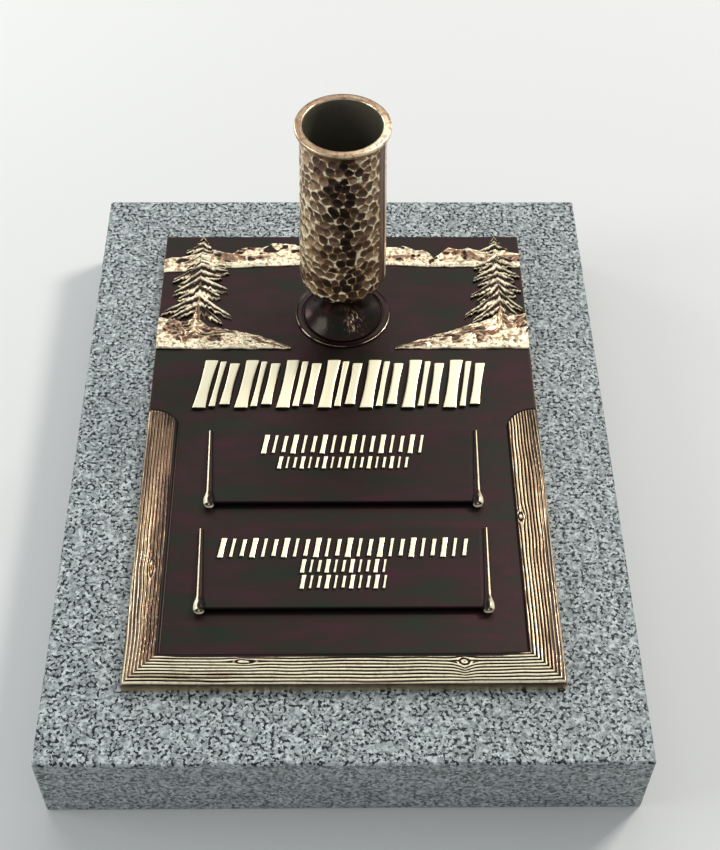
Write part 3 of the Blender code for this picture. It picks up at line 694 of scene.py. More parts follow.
def frame_rails(material):
    """The wood-grain frame: a crowned rail carried round three of the plate's edges.

    Its height is a crown, less the ridges' depth times a wave whose phase is the depth from the
    edge, bent by slow waves and knots. Broken places have finer waves, and a knot has rings. A
    smooth bevel runs along the inner side and around both far ends. Wear follows the ridges, more
    on the near and right rails, and the grooves between them are dark.
    """
    x, y, depth, across, side, down, near, from_end, corner = rail_grid()
    travel = np.where(side == 0, x, y)
    push, inside = 0.0, 0.0
    for rail, *shape in KNOTS:
        moved, held = knot(travel, depth, *shape)
        push = push + np.where(side == rail, moved, 0)
        inside = inside + np.where(side == rail, held, 0)
    shift = side * 3.7
    slow = 0.0036 * (noise(travel * 8 + shift, depth * 22 + 5, 21) - 0.5)
    quick = 0.0011 * (noise(travel * 38 + shift, depth * 80, 22) - 0.5)
    bend = (slow + quick) * ease(corner / 0.03) + push
    phase = (depth + bend) / (RAIL_WIDTH - BEVEL_WIDTH) * RAIL_RIDGES
    ridge = ripples(phase) ** 0.62
    fine = ripples(2.0 * phase + 0.9 * noise(travel * 9, depth * 60, 24))
    broken = np.where(side == 0, 0.08, np.where(side > 0, 0.62 * ease((0.36 - across) / 0.12), 0.70))
    ridge = ridge * (1 - broken) + broken * (0.35 * ridge + 0.65 * fine)
    split = noise(travel * 60 + shift, depth * 900, 31)
    fibre = noise(travel * 40, depth * 1500, 33)
    patchy = ease((fractal(travel * 12 + shift, depth * 70, 2, 35) - 0.44) / 0.25)
    rings = np.sqrt(np.clip(-np.log(np.clip(inside, 1e-6, 1)), 0, 9))
    swirl = ripples(1.25 * rings + 1.1 * noise(travel * 110, depth * 150, 36) + 0.35)
    face = ridge * (1 - ease(inside * 2.2)) + swirl * ease(inside * 2.2)
    crown = RAIL_EDGE + (RAIL_CROWN - RAIL_EDGE) * np.sin(np.pi * (0.10 + 0.78 * across)) ** 0.7
    cuts = 0.0004 * split * (1 - ridge) + 0.0002 * fibre
    z = crown - RIDGE_DEPTH * (1 - face) - cuts + 0.0006 * inside
    widened = np.where(near < 0.5, 0.45 * ease(near / 0.08), 0.45 - ease((near - 0.9) / 0.1))
    bevel_width = BEVEL_WIDTH * (1 + widened)
    in_wood = ease(np.minimum(RAIL_WIDTH - bevel_width - depth, from_end - BEVEL_WIDTH) / 0.0012)
    out = np.minimum((RAIL_WIDTH - depth) / bevel_width, from_end / BEVEL_WIDTH)
    bevel_rise = BEVEL_SHARE * RAIL_CROWN - BEVEL_FOOT
    bevel = BEVEL_FOOT + bevel_rise * ease(out / 0.9) + 0.0003 * bell(out, 0.14, 0.10)
    z = (z * in_wood + bevel * (1 - in_wood)) * (0.35 + 0.65 * ease(across / 0.035))
    z = z * (0.2 + 0.8 * ease(np.minimum(out * 6, 1)))
    golden = ease((across - 0.45) / 0.30)
    lower = ease((down - 0.35) / 0.5)
    ground = np.where(side == 0, 0.08, np.where(side > 0, 0.12 + 0.08 * golden, 0.34 + 0.03 * lower))
    outer = ease((0.62 - across) / 0.3)
    right_span = 0.41 + 0.13 * golden + 0.07 * lower + 0.24 * bell(across, 0.12, 0.15)
    span = np.where(side == 0, 1.14, np.where(side > 0, right_span, 0.22 + 0.50 * lower * outer))
    grainy = 0.80 + 0.34 * fibre - 0.25 * split * (1 - face)
    wear_and_sheen = (ground + span * ease((face - 0.46) / 0.34)) * grainy
    wear_and_sheen = wear_and_sheen - 0.20 * patchy * (0.4 + 0.6 * (1 - face))
    wear_and_sheen = wear_and_sheen - 0.40 * bell(across, 0.20, 0.13) * ease((-0.02 - x) / 0.12) * (side == 0)
    wear_and_sheen = wear_and_sheen + np.where(side == 0, 0.60, 0.35) * bell(depth, 0.0016, 0.0009) + 0.15 * inside
    line = bell(out, 0.14, 0.12)
    wear_and_sheen = wear_and_sheen * in_wood + (0.05 + 0.20 * line) * (1 - in_wood)
    grooved = np.where(side < 0, 0.45, 0.92)
    dark = np.clip(1.15 - 2.3 * face, 0, grooved) * in_wood + 0.45 * (1 - in_wood) * (1 - line)
    joined_patches("wood_grain_frame", [relief(x, y, z, wear_and_sheen, dark)], material)


def craggy(x, y, seed):
    """Rock: ridged noise looked up at places that two more noises have pushed about."""
    push_x = 0.9 * (fractal(x * 60, y * 60, 2, seed + 20) - 0.5)
    push_y = 0.9 * (fractal(x * 60 + 9, y * 60, 2, seed + 30) - 0.5)
    return ridged(x * 38 + push_x, y * 54 + push_y, 4, seed)


def mountains(material):
    """The far shore, from the water's edge up broken slopes to the crest.

    Its height is a slope that eases up from the shore, plus craggy rock and softer lumps. Wear is
    on what stands above its surroundings and along the shore, less brown patches and dark pits.
    A painted shadow darkens the near edge at the shore.
    """
    u, v = shares(*MOUNTAIN_GRID)
    share = 2 * u - 1
    crest = follow(MOUNTAIN_CREST, share) + 0.012 * (fractal(share * 40, share * 0, 3, 41) - 0.5)
    shore = follow(MOUNTAIN_SHORE, share) + 0.014 * (fractal(share * 17, share * 0 + 3, 3, 42) - 0.5)
    x, y = land_point(share, shore + (crest - shore) * v)
    rock = craggy(0.72 * x, 0.72 * y, 43)
    lumps = fractal(x * 52, y * 76, 3, 47)
    slope = 0.0014 + 0.0022 * ease(v / 0.15) * (0.45 + 0.55 * v)
    rise = slope + 0.0030 * (rock - 0.45) * ease(v / 0.25) + 0.0016 * (lumps - 0.5)
    rims = (0.25 + 0.75 * ease((1 - v) / 0.05)) * (0.4 + 0.6 * ease(v / 0.03))
    rise = np.maximum(rise, 0.0005) * rims
    pits = ease((fractal(x * 95 + 5, y * 120, 2, 49) - 0.60) / 0.07) * ease((v - 0.12) / 0.2)
    brown = ease((fractal(x * 28 + 7, y * 46, 2, 48) - 0.50) / 0.08) * ease((v - 0.24) / 0.2)
    beach = ease((0.36 - v) / 0.25) * noise(x * 70, y * 90, 40)
    wear_and_sheen = 0.79 + 0.58 * crests(rise, 24, 0.0007) + 0.30 * beach - 0.42 * brown - 0.70 * pits
    # Painted shadow along the near edge at the shore; the pits are darker too
    dark = 0.7 * (1 - ease(v / 0.025)) + 0.35 * pits
    joined_patches("mountain_band", [relief(x, y, rise, wear_and_sheen, dark)], material)


def young_tree(share, low, tall, wide, seed):
    """A small pointed tree on a mound.

    Its half width is a power of the distance from the tip, in steps. Its height falls off to both
    sides and has ridged noise on it for needles.
    """
    along, across = shares(*YOUNG_TREE_GRID)
    deep = low + tall * along
    x, y = land_point(np.full_like(along, share), deep)
    steps = 0.62 + 0.38 * ((along * 5) % 1.0 < 0.5)
    half = wide * (1 - along) ** 1.2 * smooth(steps, 2) + 0.0005
    beside = np.abs(2 * across - 1)
    needles = ridged(along * 16 + 3 * beside, across * 5, 2, seed)
    rise = 0.0030 + 0.0024 * (1 - beside) + 0.0016 * (needles - 0.5)
    wear_and_sheen = 0.30 + 0.85 * needles * (1.1 - beside)
    dark = 0.5 * ease((beside - 0.7) / 0.3)
    droop = 0.009 * beside * (1 - along)
    return relief(x + (2 * across - 1) * half, y - droop, rise, wear_and_sheen, dark)


def mound(name, outline, seed, tree, material):
    """Rough ground from the plate's side down to a point, with a young tree on it.

    Its height is half a sine across the ground plus strata, which are ridged noise drawn out along
    it and warped, plus craggy lumps, and it all thins towards the point. Painted shade darkens its
    near edge.
    """
    start, end = outline[0][0], outline[-1][0]
    u, v = shares(*MOUND_GRID)
    share = start + (end - start) * u
    ragged = 0.016 * (fractal(share * 34, share * 0, 3, seed) - 0.5) * (1 - 0.7 * u)
    crest = follow(outline, share) + ragged
    near = 0.008 * (fractal(share * 22, share * 0 + 9, 3, seed + 4) - 0.35)
    crest = np.maximum(crest, near + 0.008)
    x, y = land_point(share, near + v * (crest - near))
    warp = 1.1 * fractal(u * 9, v * 4, 3, seed + 1)
    strata = ridged(u * 6 + warp, v * 3.6 + 1.8 * warp, 3, seed + 2)
    lumps = craggy(0.7 * x, 0.7 * y, seed + 3)
    body = 0.0016 + 0.0030 * np.sin(np.pi * (0.12 + 0.78 * v)) * (1 - 0.6 * u)
    edge = ease(v / 0.04) * ease((1 - v) / 0.05)
    rise = body + (0.0032 * (strata - 0.45) + 0.0010 * (lumps - 0.45)) * (1 - 0.45 * u)
    rise = np.maximum(rise, 0.0005) * (0.3 + 0.7 * edge)
    brown = ease((fractal(u * 11 + 3, v * 4.5, 2, seed + 6) - 0.49) / 0.09) * ease((v - 0.12) / 0.2)
    wear_and_sheen = 0.84 + 0.85 * crests(rise, 48, 0.0012) + 0.26 * ease((0.24 - v) / 0.2) - 0.50 * brown
    # Painted shade along the near edge; low strata under brown patches are darker too
    dark = 0.7 * (1 - ease(v / 0.03)) + 0.35 * brown * ease((0.45 - strata) / 0.3)
    patches = [relief(x, y, rise, wear_and_sheen, dark), young_tree(*tree, seed + 9)]
    joined_patches(name, patches, material)


def pine_tier(apex, left, right, thick, seed):
    """A tier of boughs, laid like a roof: two arms that droop from the apex to their tips.

    An arm's top edge follows a power of the distance t from the apex, and its depth thins towards
    the tip and is frayed by noise. Limbs are waves across that depth, bright on their crests with
    dark needles between. Painted shade darkens each arm along its lower edge.
    """
    u, v = shares(*TIER_GRID)
    side = 2 * u - 1
    t = np.abs(side)
    apex_x, apex_y = land_point(*apex)
    tips = zip(land_point(*left), land_point(*right))
    tip_x, tip_y = (np.where(side < 0, at_left, at_right) for at_left, at_right in tips)
    wave = 0.0016 * (noise(side * 4 + seed, 0 * v, seed) - 0.5) * t
    fray = noise(side * 17 + seed, 0 * v, seed + 1)
    deep = thick * (1 - 0.74 * t**1.4) * (0.80 + 0.40 * fray)
    x = apex_x + (tip_x - apex_x) * t + np.sign(side) * 0.30 * (1 - v) * deep * t
    y = apex_y + (tip_y - apex_y) * t**0.88 + wave - (1 - v) * deep
    bend = 0.7 * noise(side * 3 + seed, v * 1.2, seed + 2)
    limb = ripples((1 - v) * 1.30 + bend + 0.12) ** 1.8
    needles = noise(side * 34 + 6 * (1 - v), v * 9, seed + 3)
    body = 0.0034 * (0.25 + 0.75 * v) * (1 - 0.40 * t)
    rise = 0.0012 + body + 0.0014 * limb + 0.0009 * (needles - 0.5)
    rims = ease((1.03 - t) / 0.06) * (0.35 + 0.65 * ease(v / 0.12) * ease((1.05 - v) / 0.12))
    rise = np.maximum(rise, 0.0004) * rims
    ridge = ease((v - 0.72) / 0.15) * ease((0.25 + needles * 0.9 - 0.4 * (1 - t)) / 0.3)
    wear_and_sheen = 0.10 + 1.45 * limb * (0.72 + 0.50 * needles) * (0.60 + 0.40 * v)
    wear_and_sheen = wear_and_sheen + 0.35 * ridge * (0.5 + needles)
    # Painted shade along the arm's lower edge; the gaps between limbs are dark
    dark = 0.70 * (1 - ease(v / 0.25)) + 0.80 * (1 - limb) ** 1.5
    return relief(x, y, rise, wear_and_sheen, dark)


def pine(name, shape, seed, material):
    """A pine: a pointed top, drooping tiers with a shorter one after each, and a round trunk."""
    trunk, levels = shape
    top = levels[0][0]
    shoulders = (trunk - 0.030, top + 0.01), (trunk + 0.030, top + 0.012)
    patches = [pine_tier((trunk, PINE_TIP), *shoulders, 0.010, seed)]
    bottoms = [level[0] for level in levels[1:]] + [levels[-1][0] - 0.13]
    for number, ((height, left, right), below) in enumerate(zip(levels, bottoms)):
        thick = 0.55 * (height - below) * LAND_DEPTH + 0.006
        patches.append(pine_tier((trunk, height + 0.012), left, right, thick, seed + 11 * number + 4))
        middle = (height + below) / 2
        inner = []
        for (place, deep), reach in ((left, 0.80), (right, 0.74)):
            inner.append((trunk + (place - trunk) * reach, deep - (height - middle) * 0.8))
        patches.append(pine_tier((trunk, middle + 0.008), *inner, thick, seed + 11 * number + 9))
    along, across = shares(*TRUNK_GRID)
    x, y = land_point(np.full_like(along, trunk), PINE_FOOT + (PINE_TIP - PINE_FOOT) * along)
    half = 0.0034 * (1 - 0.88 * along)
    bark = noise(along * 40, across * 5, seed + 90)
    roundness = np.sin(np.pi * (0.06 + 0.88 * across)) * (1 - 0.45 * along)
    rise = 0.0016 + 0.0022 * roundness + 0.0004 * bark
    patches.append(relief(x + (2 * across - 1) * half, y, rise, 0.18 + 0.3 * bark, 0.2))
    joined_patches(name, patches, material)


def stroke_patch(x, y, width, height, face, base, flare):
    """One leaning stroke. Its width grows by the flare times the square of the distance to an end.

    Its face is flat in the middle and falls off to the edges by high powers of the distance.
    """
    along, across = shares(*STROKE_GRID)
    end = np.abs(2 * along - 1)
    beside = np.abs(2 * across - 1)
    spread = width * (1 + flare * end**2)
    px = x + STROKE_LEAN * (along - 0.5) * height + (across - 0.5) * spread
    py = y + (along - 0.5) * height + 0 * across
    top = face[1] - (0.18 * beside**6 + 0.10 * end**14) * (face[1] - face[0]) + 0 * px
    return np.stack([px, py, top], axis=-1), 1.08 - 0.40 * beside**8, 0.0, base


def headline(material):
    """The headline's strokes, all leaning one way, so none makes a letter."""
    face = (PLATE_TOP, PLATE_TOP + HEADLINE_RISE)
    base = PLATE_TOP - SINK
    patches = [stroke_patch(*stroke, face, base, HEADLINE_FLARE) for stroke in headline_layout()]
    joined_patches("headline_strokes", patches, material, walls=(0.1, 0.9))


def scroll_face(share):
    """Height of a scroll's face above the plate at a share of its depth from the far edge."""
    return SCROLL_FAR_RISE + (SCROLL_NEAR_RISE - SCROLL_FAR_RISE) * share


def scroll_roll(name, node, half, far_y, side, material):
    """A side roll: a tube flush with the scroll's outer side, closed at its near end by a curl.

    Its radius is a broken line along the scroll that eases up to the curl's, and its angle goes
    once round. The end has a ring-shaped hollow in painted shade, set a little below the middle,
    around a small bright eye. A painted highlight runs along the tube's outer shoulder and spreads
    over the curl, and painted shade lies under the tube and in the curl's opening.
    """
    length = SCROLL_DEPTH + CURL_OVERHANG
    spread = CURL_RADIUS - ROLL_FAR_RADIUS
    around = np.linspace(0, 2 * np.pi, ROLL_COLUMNS, endpoint=False)
    travel = np.linspace(0, length, ROLL_ROWS)
    start, end = length - 3.0 * CURL_RADIUS, length - 0.9 * CURL_RADIUS
    radii = (0.2 * ROLL_FAR_RADIUS, ROLL_FAR_RADIUS, ROLL_NEAR_RADIUS)
    radius = np.interp(travel, (0, 0.0015, start), radii)
    radius = radius + (CURL_RADIUS - ROLL_NEAR_RADIUS) * ease((travel - start) / (end - start))
    radius = radius - 0.0010 * ease((travel - length + 0.0016) / 0.0016)
    radius = np.concatenate([radius, radius[-1] * np.linspace(0.95, 0.03, ROLL_END_ROWS)])
    travel = np.concatenate([travel, np.full(ROLL_END_ROWS, length)])
    angle, r = np.meshgrid(around, radius)
    down = np.repeat(travel[:, None], around.size, 1)
    on_end = (np.arange(travel.size) >= ROLL_ROWS)[:, None]
    ring = r / radius[ROLL_ROWS - 1]
    groove = bell(ring, 0.46 + 0.12 * np.sin(angle), 0.19) * on_end
    ripple = 1 + 0.03 * (noise(down * 300, angle * 2, 71) - 0.5)
    share = np.clip(down / SCROLL_DEPTH, 0, 1)
    px = side * (half + spread * (1 - share)) + r * ripple * np.cos(angle)
    pz = PLATE_TOP + FIT_GAP + ROLL_FAR_RADIUS + spread * share + r * ripple * np.sin(angle)
    py = far_y - down + CURL_HOLLOW * groove
    points = np.stack([px, py, pz], axis=-1)
    rows, columns = points.shape[:2]
    shoulder = np.arctan2(np.sin(angle), side * np.cos(angle))
    swollen = ease((down - start) / (end - start))
    # Painted highlight along the outer shoulder, spreading over the curl
    band = bell(shoulder, 1.12 - 0.35 * swollen, 0.23 + 0.70 * swollen**2)
    streak = 0.85 + 0.3 * noise(down * 160, angle * 3, 73)
    # Painted shade in the curl's opening
    opening = bell(shoulder, 1.85, 0.46) * bell(down, length - 0.0048, 0.0034)
    wear_and_sheen = np.where(on_end, 1.1 - 1.2 * groove, 0.06 + 1.02 * band * streak - 1.1 * opening)
    # Painted shade under the tube, and in the end's hollow
    below = 0.70 * (1 - ease((np.sin(angle) + 0.1) / 0.6)) * (1 - swollen)
    dark = np.where(on_end, 0.95 * groove, np.maximum(below, 0.95 * opening))
    last = (rows - 1) * columns
    ends = [list(range(columns))[::-1], list(range(last, last + columns))]
    masks = {"wear_and_sheen": np.clip(wear_and_sheen, 0, 1.1).ravel(), "dark": dark.ravel()}
    quads = grid_quads(rows, columns, wrap_columns=True)
    mesh = build_mesh(name, points.reshape(-1, 3), quads, ends, masks)
    add_piece(mesh, material, node)


def name_scroll(node, rows, material):
    """A raised scroll: its panel, two side rolls and its rows of strokes.

    The panel rises evenly towards its near edge, with a shallow groove along each roll. Painted
    shade darkens its face a little, more along the near edge, its walls and beside the strokes.
    Strokes are spread evenly over a row, thick, thin and shorter in turn, and stand on the panel's face.
    """
    low, high = (np.array(corner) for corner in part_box(node))
    far_y = high[1]
    width = high[0] - low[0]
    half = width / 2 - CURL_RADIUS
    layout = []
    for from_far, height, margin in rows:
        length = width - 2 * margin
        count = max(2, round(length / (SMALL_PITCH if height < SMALL_ROW else STROKE_PITCH)))
        pitch = length / count
        for number in range(count):
            middle = (-length / 2 + (number + 0.5) * pitch, far_y - from_far - height / 2)
            thick, tall = SMALL_STROKES[number % len(SMALL_STROKES)]
            layout.append((*middle, thick * pitch, height * tall))
    share, v = shares(*PANEL_GRID)
    reach = half + (CURL_RADIUS - ROLL_FAR_RADIUS) * (1 - share)
    x = (2 * v - 1) * reach
    y = far_y - SCROLL_DEPTH * share
    seam = reach - PANEL_SEAM - np.abs(x)
    dip = -0.0004 * bell(seam, 0.0, 0.0006) - 0.0009 * ease((share - 0.985) / 0.015) ** 2
    z = PLATE_TOP + scroll_face(share) + dip + 0.0001 * (fractal(x * 50, share * 5, 3, 75) - 0.5)
    wear_and_sheen = 0.22 * bell(seam, -0.0006, 0.0006) * fractal(x * 100, share * 30, 2, 76)
    wear_and_sheen = wear_and_sheen + 0.16 * ease((0.012 - share) / 0.01) * fractal(x * 90, share * 9, 2, 77)
    # Painted shade: a little over the whole face, more along the near edge, and painted shadows beside
    # the strokes
    dark = 0.12 + 0.30 * ease((share - 0.97) / 0.03) + 0.85 * shade_beside(x, y, layout, 0.0016, 0.0020)
    panel = (np.stack([x, y, z], axis=-1), wear_and_sheen, dark, PLATE_TOP + FIT_GAP)
    # The panel's walls are painted near black as shade
    joined_patches(node + "_panel", [panel], material, node, walls=(0.1, 0.97))
    for label, side in (("_roll_left", -1), ("_roll_right", 1)):
        scroll_roll(node + label, node, half, far_y, side, material)
    patches = []
    for x, y, thick, tall in layout:
        face = PLATE_TOP + scroll_face((far_y - y) / SCROLL_DEPTH)
        faces = (face, face + STROKE_RISE)
        patches.append(stroke_patch(x, y, thick, tall, faces, face - STROKE_SINK, STROKE_FLARE))
    joined_patches(node + "_strokes", patches, material, node, walls=(0.1, 0.9))


def body_radius(height):
    """The vase's outer radius between its bowl and the rim, widest a quarter of the way up."""
    share = (height - BOWL_HEIGHT) / (VASE_HEIGHT - RIM_THICK - BOWL_HEIGHT)
    swell = VASE_BELLY * np.cos(np.pi * np.clip(share - 0.1, 0, 1))
    round_off = np.clip(1 - share / 0.085, 0, 1)
    return VASE_RADIUS + swell - 0.46 * VASE_RADIUS * (1 - np.sqrt(1 - round_off**2))


def smooth_line(pairs, count):
    """Points spread evenly along a broken line whose corners are cut twice."""
    line = np.array(pairs, dtype=float)
    for _ in range(2):
        first, second = line[:-1], line[1:]
        cut = np.stack([0.75 * first + 0.25 * second, 0.25 * first + 0.75 * second], axis=1)
        line = np.concatenate([line[:1], cut.reshape(-1, 2), line[-1:]])
    travel = np.concatenate([[0], np.cumsum(np.hypot(*np.diff(line, axis=0).T))])
    even = np.linspace(0, travel[-1], count)
    return np.stack([np.interp(even, travel, line[:, 0]), np.interp(even, travel, line[:, 1])], axis=1)


def nearest_cells(turn, row):
    """Distances to the two nearest hollows of a staggered net with seeded jitter, in cell widths.

    With them come the nearest hollow's tint and its lean, which grows towards its lower left. Rows
    are counted down from the rim.
    """
    rng = np.random.default_rng(81)
    jitter = rng.uniform(-0.28, 0.28, (VASE_CELLS, CELL_ROWS, 2))
    tints = rng.random((VASE_CELLS, CELL_ROWS))
    first = np.full(turn.shape, 9.0)
    second = np.full(turn.shape, 9.0)
    tint = np.zeros(turn.shape)
    lean = np.zeros(turn.shape)
    base_row = np.floor(row).astype(int)
    for row_step in (-1, 0, 1, 2):
        cell_row = base_row + row_step
        shift = 0.5 * (cell_row % 2)
        base_turn = np.floor(turn - shift).astype(int)
        for turn_step in (-1, 0, 1, 2):
            cell = base_turn + turn_step
            key = (cell % VASE_CELLS, cell_row % CELL_ROWS)
            move = jitter[key]
            across = turn - (cell + shift + move[..., 0])
            below = (row - (cell_row + move[..., 1])) * NET_ROW_SHARE
            away = np.hypot(across, below)
            tint = np.where(away < first, tints[key], tint)
            lean = np.where(away < first, below - 0.5 * across, lean)
            second = np.minimum(second, np.maximum(first, away))
            first = np.minimum(first, away)
    return first, second, tint, lean


def vase_profile():
    """The vase's outline as points of radius and height, each with its part's number.

    The parts are the inside, the rim, the beaten wall, the neck and foot, and what is under them.
    """
    rim_low = VASE_HEIGHT - RIM_THICK
    floor = BOWL_HEIGHT + VASE_WALL
    inside = [(0.0006, floor), (0.55 * VASE_RADIUS, floor + 0.002)]
    for share in (0.06, 0.12, 0.35, 0.7):
        height = BOWL_HEIGHT + share * (rim_low - BOWL_HEIGHT)
        inside.append((body_radius(height) - VASE_WALL, max(height, floor + 0.004)))
    inside.append((MOUTH_RADIUS, VASE_HEIGHT - 0.0022))
    rim = [
        (MOUTH_RADIUS, VASE_HEIGHT - 0.0022),
        (MOUTH_RADIUS + 0.0012, VASE_HEIGHT),
        (RIM_RADIUS - 0.0026, VASE_HEIGHT),
        (RIM_RADIUS, VASE_HEIGHT - 0.0012),
        (RIM_RADIUS, VASE_HEIGHT - 0.0046),
        (RIM_RADIUS - 0.0020, VASE_HEIGHT - 0.0066),
        (body_radius(rim_low), rim_low),
    ]
    foot = [
        (body_radius(BOWL_HEIGHT), BOWL_HEIGHT),
        (NECK_RADIUS, NECK_HEIGHT),
        (NECK_RADIUS + 0.004, 0.55 * NECK_HEIGHT),
        (0.5 * (NECK_RADIUS + FOOT_RADIUS), 0.26 * NECK_HEIGHT),
        (FOOT_RADIUS - 0.002, FOOT_THICK),
        (FOOT_RADIUS, 0.5 * FOOT_THICK),
        (FOOT_RADIUS - 0.0008, 0.0),
    ]
    under = [
        (FOOT_RADIUS - 0.0008, 0.0),
        (FOOT_RADIUS - VASE_WALL, 0.0),
        (NECK_RADIUS + 0.002, 0.16 * NECK_HEIGHT),
        (NECK_RADIUS - VASE_WALL, 0.5 * NECK_HEIGHT),
        (0.0006, NECK_HEIGHT - VASE_WALL),
    ]
    wall = np.linspace(rim_low, BOWL_HEIGHT, VASE_WALL_ROWS)[1:-1]
    parts = [smooth_line(inside, VASE_PART_ROWS), smooth_line(rim, VASE_PART_ROWS)[1:]]
    parts += [np.stack([body_radius(wall), wall], axis=1)]
    parts += [smooth_line(foot, VASE_PART_ROWS), smooth_line(under, VASE_UNDER_ROWS)[1:]]
    return np.concatenate(parts), np.repeat(np.arange(len(parts)), [len(part) for part in parts])


def turned_grid(profile, columns):
    """Angle, radius and height of every point of a profile turned once round."""
    angle, radius = np.meshgrid(np.linspace(0, 2 * np.pi, columns, endpoint=False), profile[:, 0])
    return angle, radius, np.repeat(profile[:, 1:2], columns, 1)


def turned_points(angle, radius, height, low):
    """Places of a turned grid's points about the vase's axis."""
    places = [radius * np.cos(angle), VASE_Y + radius * np.sin(angle), low + height]
    return np.stack(places, axis=-1).reshape(-1, 3)


def vase(material):
    """The vase: a profile turned about its axis, with its wall beaten in round hollows.

    A hollow's depth falls off with the distance to its centre. The bright webs between hollows lie
    where the two nearest centres are equally far away, broken by noise and brightest where three
    meet, and brighter to a hollow's lower left as a painted highlight. Painted highlights also light
    the wall's left and right sides, the rim's right front and a few glints on the foot, and painted
    shade darkens the inside and the rim's lower part. A plain strip with a groove and a bright bead
    runs down the seam.
    """
    profile, part = vase_profile()
    columns = VASE_COLUMNS
    angle, radius, height = turned_grid(profile, columns)
    part = np.repeat(part[:, None], columns, 1)
    on_wall = part == WALL
    rim_low = VASE_HEIGHT - RIM_THICK
    turn = angle / (2 * np.pi) * VASE_CELLS
    warp = 0.5 * (noise(turn * 0.5, height * 45, 82) - 0.5)
    first, second, tint, lean = nearest_cells(turn + warp, (rim_low - height) / CELL_PITCH + warp)
    seam = ((angle - SEAM_TURN + np.pi) % (2 * np.pi) - np.pi) * VASE_RADIUS
    strip = 1 - ease((np.abs(seam) - SEAM_WIDTH / 2) / 0.003)
    ends = ease((rim_low - height - 0.003) / 0.006) * ease((height - BOWL_HEIGHT) / 0.010)
    beaten = on_wall * (1 - strip) * ends
    hollow = 1 - ease((first - 0.16) / 0.38)
    uneven = 0.6 + 0.8 * tint
    groove = bell(seam, -0.0035, 0.0009) * on_wall
    bead = bell(seam, 0.0052, 0.0036) * on_wall * strip
    radius = radius - beaten * CELL_DEPTH * hollow * uneven - SEAM_GROOVE * groove
    meeting = ease((first - 0.47) / 0.13)
    web = bell(second - first, 0.0, 0.075)
    gleam = ease((fractal(turn * 0.45, height * 60, 3, 84) - 0.34) / 0.30)
    # Painted highlight on the wall's left and right sides, where the hollows are also painted less dark
    about = np.abs(np.cos(angle)) ** 1.3
    frayed = 0.55 + 0.9 * noise(turn * 3.1, height * 420, 83)
    broken = 0.16 + 0.84 * ease((noise(turn * 1.9, height * 230, 90) - 0.34) / 0.26)
    # Painted highlight on the webs at each hollow's lower left
    broken = broken * (0.45 + 0.85 * ease(0.5 + 1.3 * lean))
    webs = (0.40 + 0.80 * gleam) * frayed * broken * (0.80 * web + 1.0 * meeting)
    wall = 0.09 + 0.28 * tint**2 + 0.34 * about + beaten * (0.90 + 1.60 * about) * webs
    wall = np.where(strip > 0.5, 0.25 + 0.10 * noise(turn, height * 30, 85), wall) + 0.80 * bead
    lip = bell(height, VASE_HEIGHT - 0.0006, 0.0014)
    # Painted highlight on the rim's right front
    sunny = bell(((angle + 0.45 + np.pi) % (2 * np.pi)) - np.pi, 0.0, 0.75)
    edges = bell(radius, RIM_RADIUS - 0.0006, 0.0011) + bell(radius, MOUTH_RADIUS + 0.0006, 0.0008)
    rim = 0.38 + 0.14 * fractal(turn * 1.5, radius * 700, 2, 86) + 0.12 * sunny
    rim = rim + lip * (0.30 * edges + 0.32 * sunny)
    # Painted glints on the foot's front right
    sunny_foot = bell(angle, 2 * np.pi - 1.15, 0.30) * bell(height, 0.020, 0.012)
    glints = ease((noise(turn * 9, height * 460, 87) - 0.72) / 0.10) * sunny_foot
    foot = 0.06 + 0.12 * fractal(turn * 2, height * 160, 3, 89) + 0.95 * glints
    where = [part == INSIDE, part == RIM, on_wall]
    wear_and_sheen = np.select(where, [1.0, rim, wall], foot)
    # Dark patina in the hollows, painted less dark on the left and right sides; the seam groove is
    # darker
    wall_dark = 0.75 * groove + beaten * hollow * (0.55 - 0.45 * tint) * (1 - 0.6 * about)
    # Painted shade under the rim, and inside the mouth
    under_rim = 0.6 * (height < VASE_HEIGHT - 0.0054)
    dark = np.select(where, [INSIDE_DARK, under_rim, wall_dark], 0.12)
    polish = np.select([part == RIM, part == FOOT], [0.3, 0.85], 0.0)
    masks = {"wear_and_sheen": wear_and_sheen.ravel(), "dark": np.clip(dark, 0, 1).ravel(), "polish": polish.ravel()}
    last = (len(profile) - 1) * columns
    caps = [list(range(columns))[::-1], list(range(last, last + columns))]
    quads = grid_quads(len(profile), columns, wrap_columns=True)
    points = turned_points(angle, radius, height, VASE_LOW[2])
    mesh = build_mesh("hammered_vase", points, quads, caps, masks, sharp=50)
    add_piece(mesh, material, "vase")


